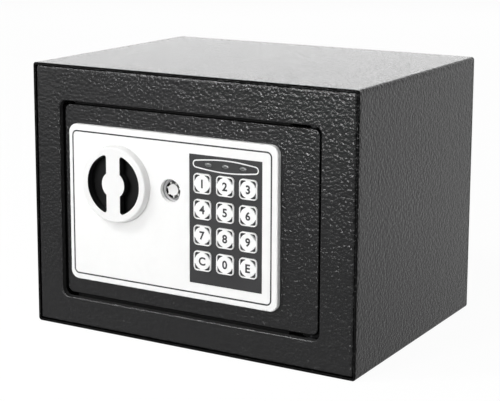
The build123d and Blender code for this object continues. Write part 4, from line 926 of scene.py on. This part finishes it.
reflection_ray = work_out(paper, "MAXIMUM", paper_rays["Is Glossy Ray"],
                    paper_rays["Is Transmission Ray"])
all_paper = place(paper, "ShaderNodeMixShader",
                  {0: reflection_ray, 1: lit_paper.outputs[0], 2: painted_reflection.outputs[0]})
paper.links.new(all_paper.outputs[0], paper.nodes["Material Output"].inputs["Surface"])
floor_mesh.materials.append(floor_paper)


def soft_light(name, spot, aim, width, height, radiance):
    """A flat light of the given size in metres that faces a point, with the given radiance."""
    lamp = bpy.data.lights.new(name, "AREA")
    lamp.shape = "RECTANGLE"
    lamp.size, lamp.size_y = width, height
    lamp.energy = radiance * math.pi * width * height
    light = bpy.data.objects.new(name, lamp)
    light.location = spot
    light.rotation_euler = (Vector(aim) - Vector(spot)).to_track_quat("-Z", "Y").to_euler()
    light.visible_camera = False
    bpy.context.scene.collection.objects.link(light)


soft_light("front_fill", (-0.35, -1.5, 1.35), (0, 0, 0.08), 1.6, 1.2, 1.93)
soft_light("front_spark", (-0.25, -1.25, 0.42), (0.05, 0, 0.13), 0.22, 0.16, 55.0)
soft_light("edge_light", (-0.75, -0.75, 1.2), (0, 0, 0.12), 0.3, 0.25, 36.0)
soft_light("right_light", (1.3, -0.75, 0.3), (0, 0, 0.1), 0.2, 0.2, 18.0)
soft_light("back_glow", (-1.0, 1.9, 0.62), (0, 0, 0.12), 1.6, 0.7, 1.1)

CAMERA_SPOT = Vector((0.4649, -0.8070, 0.2911))
CAMERA_TURN, CAMERA_DOWN, CAMERA_ROLL = (math.radians(angle) for angle in (30.23, 10.19, 0.196))
CAMERA_LENS, CAMERA_SHIFT, SENSOR_WIDE = 104.79, -0.141, 36
camera_data = bpy.data.cameras.new("photo_camera")
camera_data.sensor_width = SENSOR_WIDE
camera_data.sensor_fit = "HORIZONTAL"
camera_data.lens = CAMERA_LENS
camera_data.shift_y = CAMERA_SHIFT
camera = bpy.data.objects.new("photo_camera", camera_data)
ahead = Vector((-math.sin(CAMERA_TURN) * math.cos(CAMERA_DOWN),
                math.cos(CAMERA_TURN) * math.cos(CAMERA_DOWN), -math.sin(CAMERA_DOWN)))
level = ahead.cross(Vector((0, 0, 1))).normalized()
above = level.cross(ahead)
right = level * math.cos(CAMERA_ROLL) + above * math.sin(CAMERA_ROLL)
upward = above * math.cos(CAMERA_ROLL) - level * math.sin(CAMERA_ROLL)
facing = Matrix((right, upward, -ahead)).transposed().to_4x4()
camera.matrix_world = Matrix.Translation(CAMERA_SPOT) @ facing
bpy.context.scene.collection.objects.link(camera)
bpy.context.scene.camera = camera
bpy.context.scene.view_settings.view_transform = "Standard"
